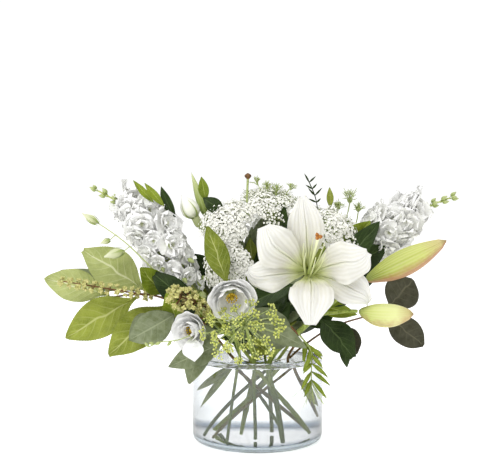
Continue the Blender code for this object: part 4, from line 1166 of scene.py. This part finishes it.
def make_small_leaves(salal, fresh, grey, dark):
    """The single leaves that show between the flowers."""
    rows = (
        ("top bright leaf", fresh, spot(-59, -5, 176), spot(-64, -5, 203), 12, FRONT),
        ("top round leaf", dark, spot(-39, -10, 164), spot(-62, -10, 179), 17, FRONT),
        ("top olive leaf", grey, spot(-20, -5, 138), spot(-51, -5, 163), 24, FRONT + 0.6 * UP),
        ("curved dark leaf", dark, spot(-94, -5, 157), spot(-110, -5, 192), 12, FRONT - 0.5 * UP),
        ("green leaf behind the lily", fresh, spot(96, -14, 120), spot(128, -14, 153), 26, FRONT),
        ("light leaf", salal, spot(83, -5, 168), spot(82, -5, 191), 8, FRONT),
        ("pale front leaf", grey, spot(-4, -88, 46), spot(52, -100, 22), 22, FRONT + 0.4 * UP),
        ("dark left leaf", dark, spot(-84, -20, 66), spot(-110, -26, 86), 20, FRONT + 0.3 * UP),
        ("small bright leaf", fresh, spot(-60, -60, 62), spot(-68, -68, 76), 9, FRONT),
        ("dark leaf under the lily", dark, spot(40, -34, 82), spot(-18, -42, 56), 26, FRONT + 0.5 * UP),
        ("leaf below the left bloom", grey, spot(-40, -60, 20), spot(-98, -70, -4), 28, FRONT + 0.2 * UP),
        ("dark leaf left of the bloom", dark, spot(-62, -44, 62), spot(-100, -50, 44), 24, FRONT + 0.3 * UP),
        ("green leaf at the left", fresh, spot(-88, -48, 40), spot(-101, -52, 76), 22, FRONT + 0.2 * UP),
        ("silver leaf at the left", grey, spot(-44, -56, 32), spot(-90, -62, 20), 26, FRONT + 0.5 * UP),
        ("sunken leaf left", fresh, spot(-22, -26, -6), spot(-64, -18, -40), 9, FRONT),
        ("sunken leaf lower", fresh, spot(-22, -26, -8), spot(-60, -26, -58), 7, FRONT + 0.4 * UP),
        ("sunken leaf right", fresh, spot(42, -18, -26), spot(64, -20, -58), 11, FRONT),
        ("bright sepal left", fresh, spot(-118, -12, 174), spot(-141, -12, 199), 8, FRONT),
        ("bright sepal right", fresh, spot(-106, -14, 170), spot(-128, -14, 196), 9, FRONT),
        ("folded leaf", dark, spot(94, -56, 22), spot(98, -62, -6), 12, FRONT),
        ("dark leaf by the salal", dark, spot(-72, -30, 60), spot(-120, -34, 98), 28, FRONT),
        ("grey round leaf", grey, spot(-92, -56, 52), spot(-142, -60, 24), 36, FRONT),
        ("dark leaf right of the lily", dark, spot(84, -6, 92), spot(148, -10, 124), 36, FRONT),
        ("dark leaf low right", dark, spot(62, -20, 64), spot(128, -26, 92), 36, FRONT),
        ("green leaf under the bud", fresh, spot(66, -24, 60), spot(112, -30, 48), 18, FRONT),
        ("leaf behind the lace", grey, spot(2, 24, 104), spot(30, 22, 170), 42, FRONT),
        ("leaf behind the left lace", fresh, spot(-50, 20, 96), spot(-34, 20, 150), 32, FRONT),
    )
    slots = {salal: "salal_leaf", fresh: "salal_leaf", grey: "eucalyptus_leaf", dark: "dark_leaf"}
    for i, (name, material, foot, tip, width, facing) in enumerate(rows):
        heap = Heap()
        small_leaf(heap, foot, tip, width * MM, facing, 0.4 + 0.05 * (i % 5), i, 0.18, 0.10, 40, 17)
        heap.form(name, material, slots[material], thickness=LEAF_THICKNESS)


def make_sprigs(greens, dark, bark):
    """Fine sprigs at the top: a brown-capped pod, feathery bracts, a dark-leaved twig."""
    draw = np.random.default_rng(31)
    heap = Heap()
    for i, (x, up) in enumerate(((0, 196), (11, 191), (22, 187), (38, 190))):
        foot = spot(9 + 0.4 * x, 14, 160)
        tip = spot(x, 10, up)
        heap.rod(flow([foot, 0.5 * (foot + tip) + UP * 4 * MM, tip], 14), 0.5 * MM, 6)
        feathery(heap, tip - UP * 3 * MM, unit(tip - foot), 12 * MM, 12, i)
        for k in range(9):
            bead(heap, tip + aimed(UP, 1.0, k * GOLDEN) * 5 * MM * (k / 9), UP, 3 * MM, 2.2 * MM, 0.6, 8)
    for x, y, up, size in ((106, 5, 172, 20), (92, 2, 164, 14), (116, 6, 162, 13)):
        foot = spot(0.6 * x + 26, 12, up - 40)
        heap.rod(flow([foot, spot(x - 4, y, up - 16), spot(x, y, up)], 14), 0.7 * MM, 6)
        feathery(heap, spot(x, y, up), unit(UP + 0.4 * FRONT), size * MM, 20, int(x))
        bead(heap, spot(x, y, up), UP, 8 * MM, 6 * MM, 0.7, 12)
    line = flow([spot(-57, -78, 40), spot(-84, -86, 29), spot(-104, -84, 26), spot(-118, -80, 20)], 20)
    heap.rod(line, 0.6 * MM, 7)
    for k, at in enumerate((9, 13, 16, 19)):
        bead(heap, line[at], unit(np.array([-0.5, -0.3, -0.6 + 0.4 * k])), 7 * MM, 3.6 * MM, 0.5, 10)
    heap.form("feathery sprigs", greens, "flower_bud")
    twig = Heap()
    line = flow([spot(70, 2, 160), spot(66, 0, 180), spot(58, 0, 199)], 16)
    twig.rod(line, 0.6 * MM, 7)
    for k in range(5, 16, 3):
        for way in (-1, 1):
            out = unit(np.array([way * draw.uniform(0.5, 1.2), -0.3, draw.uniform(0.5, 1.0)]))
            small_leaf(twig, line[k], line[k] + out * draw.uniform(7, 13) * MM, 2.2 * MM, FRONT, 0.4, k,
                       0.2, 0.1, 12, 5)
    twig.form("dark sprig", dark, "dark_leaf")
    pod = Heap()
    line = flow([spot(-13, 5, 150), spot(-12, 5, 180), spot(-11, 5, 202)], 16)
    pod.rod(line, np.linspace(1.0, 1.5, 16) * MM, 10)
    pod.form("pod stalk", greens, "flower_bud")
    cap = Heap()
    bead(cap, spot(-11, 5, 200), UP, 6.5 * MM, 8 * MM, 0.5, 16, (0.4, 0.75, 1.0, 0.95, 0.5))
    cap.form("pod cap", bark, "woody_stem")


# ---------------------------------------------------------------- the whole bouquet
def make_foliage():
    """The leaves that are CAD nodes, and the leaf materials."""
    # salal is leathery: yellow-green, its wax skin gives wide soft highlights
    salal = leaf_material("salal_leaf", "#66741c", "#9aa440", "#c8cc84", 0.42, 8, 2.0, sheer=0.15)
    # a paler copy of the salal leaf: painted light for the top and far leaves, which are lit from behind
    lit_salal = leaf_material("young_salal_leaf", "#8f9a52", "#b8c07a", "#e0e3b8", 0.42, 8, 2.0, sheer=0.15)
    # a fresh soft leaf, the most yellow of the greens
    fresh = leaf_material("fresh_leaf", "#5b6f10", "#8a9a26", "#b9c46a", 0.40, 9, 2.2)
    # eucalyptus is dulled and greyed by a powdery bloom
    grey = leaf_material("eucalyptus_leaf", "#56613a", "#7b8558", "#a5ad88", 0.55, 7, 1.2, "#979f84")
    # nearly black-green leaves, the glossiest
    dark = leaf_material("dark_leaf", "#1b2a0e", "#35491c", "#55683a", 0.34, 8, 2.4)
    # dried silver-dollar eucalyptus, brown-grey and matt
    silver = leaf_material("silver_dollar", "#2c2c1b", "#474632", "#716f57", 0.55, 6, 1.0, "#59584a")
    salal_form = dict(veins=8, slant=2.0, quilt=0.7, wave=1.6, teeth=0.22, groove=0.8, tip_curl=2.0)
    salals = (("top", lit_salal, 0.55), ("far", lit_salal, 0.65), ("low", salal, 0.75), ("bottom", salal, 0.6))
    for i, (part, skin, tone) in enumerate(salals):
        leaf(f"salal leaf {part}", f"salal_leaf_{part}", "salal_stem", skin, "salal_leaf", tone=tone, seed=i,
             **salal_form)
    leaf("salal leaf bright", "salal_leaf_bright", "salal_stem", fresh, "salal_leaf", wave=1.2, seed=8)
    leaf("salal leaf centre", "salal_leaf_centre", "lisianthus_stem", salal, "salal_leaf", wave=1.0, seed=9,
         tone=0.2, quilt=0.4)
    for i, part in enumerate(("right", "front", "left", "silver", "low", "far")):
        owner = "salal_stem" if part == "far" else "eucalyptus_stem"
        leaf(f"eucalyptus leaf {part}", f"eucalyptus_leaf_{part}", owner, grey, "eucalyptus_leaf", veins=7,
             slant=1.2, quilt=0.2, wave=1.8, waves=1.6, groove=0.35, tone=0.3 + 0.1 * i, seed=20 + i)
    for i, part in enumerate(("left", "right")):
        leaf(f"stock leaf {part}", f"stock_leaf_{part}", "stock_back_stem", grey, "eucalyptus_leaf",
             veins=7, quilt=0.3, wave=2.0, seed=30 + i)
    for i, part in enumerate(("upper", "lower", "inner")):
        leaf(f"silver dollar leaf {part}", f"silver_dollar_leaf_{part}", "silver_dollar_stem", silver,
             "eucalyptus_leaf", veins=6, slant=1.0, quilt=0.15, wave=1.4, waves=1.4, groove=0.3,
             seed=40 + i)
    for i, part in enumerate(("upper", "right", "lower")):
        leaf(f"lily leaf {part}", f"lily_leaf_{part}", "lily_stem", dark, "dark_leaf", veins=6, slant=5.0,
             quilt=0.3, wave=1.4, tip_curl=3.0, seed=50 + i)
    leaf("olive leaf", "olive_leaf", "white_lace_top", dark, "dark_leaf", veins=9, wave=1.5, seed=60)
    return salal, fresh, grey, dark


def make_stems():
    """The plain stems, and the stem materials."""
    # juicy green stems with a smooth skin; painted shade darkens them lower in the vase
    green = stem_material("green_stem", "#7f9238", "#aab85a", "#5e6f2a", 0.40, vase_shade="#3f5208")
    pale = stem_material("pale_stem", "#9aa850", "#c2c878", "#6f7f38", 0.42, vase_shade="#66761a")
    # thin brown bark, the dullest of the three, also darkened lower in the vase by painted shade
    bark = stem_material("woody_stem", "#5d4128", "#8a6238", "#3a2614", 0.65, 5.0, vase_shade="#56520e")
    for side, joints in (("left", (0.12, 0.24, 0.36)), ("right", (0.15, 0.3)), ("back", (0.1, 0.25))):
        make_stem(f"stock stem {side}", f"stock_{side}_stem", pale, "green_stem", joints)
    make_stem("lisianthus stem back", "lisianthus_back_stem", green, "green_stem", (0.2, 0.45, 0.7))
    make_stem("salal stem", "salal_stem", bark, "woody_stem", (0.2, 0.42, 0.66, 0.8), wander=0.6)
    make_stem("eucalyptus stem", "eucalyptus_stem", bark, "woody_stem", (0.3, 0.5, 0.7), wander=0.6)
    make_stem("silver dollar stem", "silver_dollar_stem", bark, "woody_stem", (0.3, 0.6), wander=0.4)
    rounded_copy("lily stem", "lily_stem", green, "green_stem")
    rounded_copy("lisianthus stem", "lisianthus_stem", green, "green_stem")
    return green, bark


def make_stage():
    """A plain white table, soft light from all round, and a taller softbox from the left and front."""
    table = bpy.data.meshes.new("table")
    half = 6.0
    corners = [(-half, -half, 0), (half, -half, 0), (half, half, 0), (-half, half, 0)]
    table.from_pydata(corners, [], [(0, 1, 2, 3)])
    floor = bpy.data.objects.new("table", table)
    bpy.context.scene.collection.objects.link(floor)
    # white paper, matt, and lit from below so that shadows stay faint
    material, add = new_material("white_table")
    finished(add, {"Base Color": "#f6f6f6", "Roughness": 0.6, "Emission Color": "#ffffff",
                   "Emission Strength": 0.55})
    table.materials.append(material)
    world = bpy.data.worlds.new("white room")
    world.use_nodes = True
    world.node_tree.nodes.clear()
    add = partial(add_node, world.node_tree)
    # the backdrop is lit brighter than the room that lights the flowers
    seen = add("LightPath", out="Is Camera Ray")
    toward = add("SeparateXYZ", add("TexCoord", out="Generated"), out=1)
    room = add("MapRange", toward, -0.2, 1.0, 0.66, 1.0)
    # darker walls at both sides draw the edges of the glass
    sideways = add("SeparateXYZ", add("TexCoord", out="Generated"))
    cards = add("MapRange", add("Math/ABSOLUTE", sideways), 0.45, 0.9, 1.0, 0.45)
    room = add("Math/MULTIPLY", room, cards)
    strength = add("Mix", seen, room, 1.05)
    light = add("Background", {"Color": "#ffffff", "Strength": strength})
    add("OutputWorld", {"Surface": light})
    bpy.context.scene.world = world
    scene = bpy.context.scene
    scene.view_settings.view_transform = "Standard"
    lamps = (("key", (-1.1, -1.3, 1.7), 1.2, 24), ("fill", (1.4, -1.0, 0.9), 1.2, 2.5),
             ("top", (0.1, -0.2, 1.9), 1.4, 9))
    middle = Vector((0, 0, 1.5 * RIM))
    for name, place, width, power in lamps:
        data = bpy.data.lights.new(name, "AREA")
        data.size = width
        data.energy = power
        lamp = bpy.data.objects.new(name, data)
        lamp.location = place
        lamp.rotation_euler = (middle - Vector(place)).to_track_quat("-Z", "Y").to_euler()
        scene.collection.objects.link(lamp)
    data = bpy.data.cameras.new("camera")
    data.lens = 80.5
    data.clip_start = 0.05
    camera = bpy.data.objects.new("camera", data)
    camera.location = (-0.0086, -1.28, 0.319)
    camera.rotation_euler = (math.radians(90 - 3.4), 0, 0)
    scene.collection.objects.link(camera)
    scene.camera = camera


def main():
    """Every piece of the bouquet, then the stage."""
    green, bark = make_stems()
    make_vase()
    salal, fresh, grey, dark = make_foliage()
    lily = lily_petal_material()
    for i, part in enumerate(("left", "right", "bottom")):
        make_lily_petal(f"lily petal {part}", f"lily_petal_{part}", lily, 1.7, i)
    for i, part in enumerate(("top", "lower_left", "lower_right")):
        make_lily_petal(f"lily petal {part.replace('_', ' ')}", f"lily_petal_{part}", lily, 0.8, 7 + i)
    # the style and filaments are smooth and juicy, the buds' skins thick and waxy
    make_lily_heart(petal_material("lily_style", "#9fb04a", "#d5dc9c", "#e4e7c0", 4, 0.4, 0.0))
    green_skin = lily_bud_material("green_lily_bud", "#7d8c32", "#a0ab42", "#bfc566")
    pale_skin = lily_bud_material("pale_lily_bud", "#98a544", "#bcc46a", "#d9dd98")
    make_lily_bud("lily bud upper", "lily_bud_upper", green_skin, 0.3, 0.75)
    make_lily_bud("lily bud lower", "lily_bud_lower", pale_skin, 1.1, 0.25)
    # stock petals are matt and crinkled, the greenish foot shows in their folds
    stock = petal_material("stock_petal", "#e6eacb", "#fafaf7", "#fdfdfc", 5, 0.6, 0.08)
    bud_green = petal_material("green_bud", "#7b8f3e", "#9aab5c", "#c3cb94", 9, 0.5, 0.1)
    make_stock("left", 40, stock, bud_green, 2)
    make_stock("right", 34, stock, bud_green, 3)
    make_stock("back", 34, stock, bud_green, 4)
    # lisianthus petals are silkier and cooler, and thin enough to glow
    # the olive-green foot darkens the bloom's hollow: partly a green throat, partly painted shade
    cool = petal_material("lisianthus_petal", "#8f9a48", "#f9faf9", "#fdfdfd", 7, 0.5, 0.12)
    for i, side in enumerate(("right", "left", "back")):
        make_bloom(side, cool, bud_green, i + 1)
    # furled buds go from green to cream as they ripen
    furled = petal_material("furled_bud", "#93a453", "#c9d09a", "#e3e5c6", 6, 0.5, 0.12)
    fresh_bud = petal_material("fresh_bud", "#6f8434", "#93a54c", "#c6cf94", 9, 0.5, 0.0)
    creamy = petal_material("creamy_bud", "#b9c486", "#eceedb", "#f6f6ee", 4, 0.5, 0.0)
    make_bud_spray(bud_green, furled)
    make_twig_bud("lisianthus top bud", "lisianthus_top_bud", bud_green, fresh_bud, 4.8 * MM, 3.5, 0.2)
    make_twig_bud("lisianthus pale bud", "lisianthus_pale_bud", bud_green, creamy, 10.5 * MM, 2.0, 0.8)
    # lace florets are chalky white, their rays thin and pale green
    lace = petal_material("lace_floret", "#e2e6c8", "#f9f8f0", "#fdfcf8", 2, 0.6, 0.05)
    rays = stem_material("lace_ray", "#94a35a", "#b9c487", "#7e8d4a", 0.5)
    heads = (("top", 20, 0.5), ("right", 15, 0.8), ("back", 14, 0.7), ("left", 18, 1.2), ("middle", 18, 1.4))
    for i, (part, clusters, nodding) in enumerate(heads):
        make_lace(part, lace, rays, green, clusters, nodding, i)
    # unopened lace buds and seed buds are dull, rounded skins
    green_lace = stem_material("green_lace_bud", "#a8b13a", "#e2e593", "#7d8a2c", 0.6, 1.0)
    make_green_lace(green_lace, rays, green)
    seeds = stem_material("eucalyptus_seed", "#a5a558", "#d2cd8e", "#8a6d3e", 0.55, 1.0)
    make_seeds("seeded twig", "seeded_twig", "salal_stem", bark, seeds, 4, 13, 1)
    make_seeds("seed cluster", "seed_cluster", "eucalyptus_stem", bark, seeds, 12, 9, 2, 1.5)
    make_trailing_sprig(fresh, rays)
    make_filler(dark, salal, grey)
    make_small_leaves(salal, fresh, grey, dark)
    make_sprigs(rays, dark, bark)
    make_stage()


main()
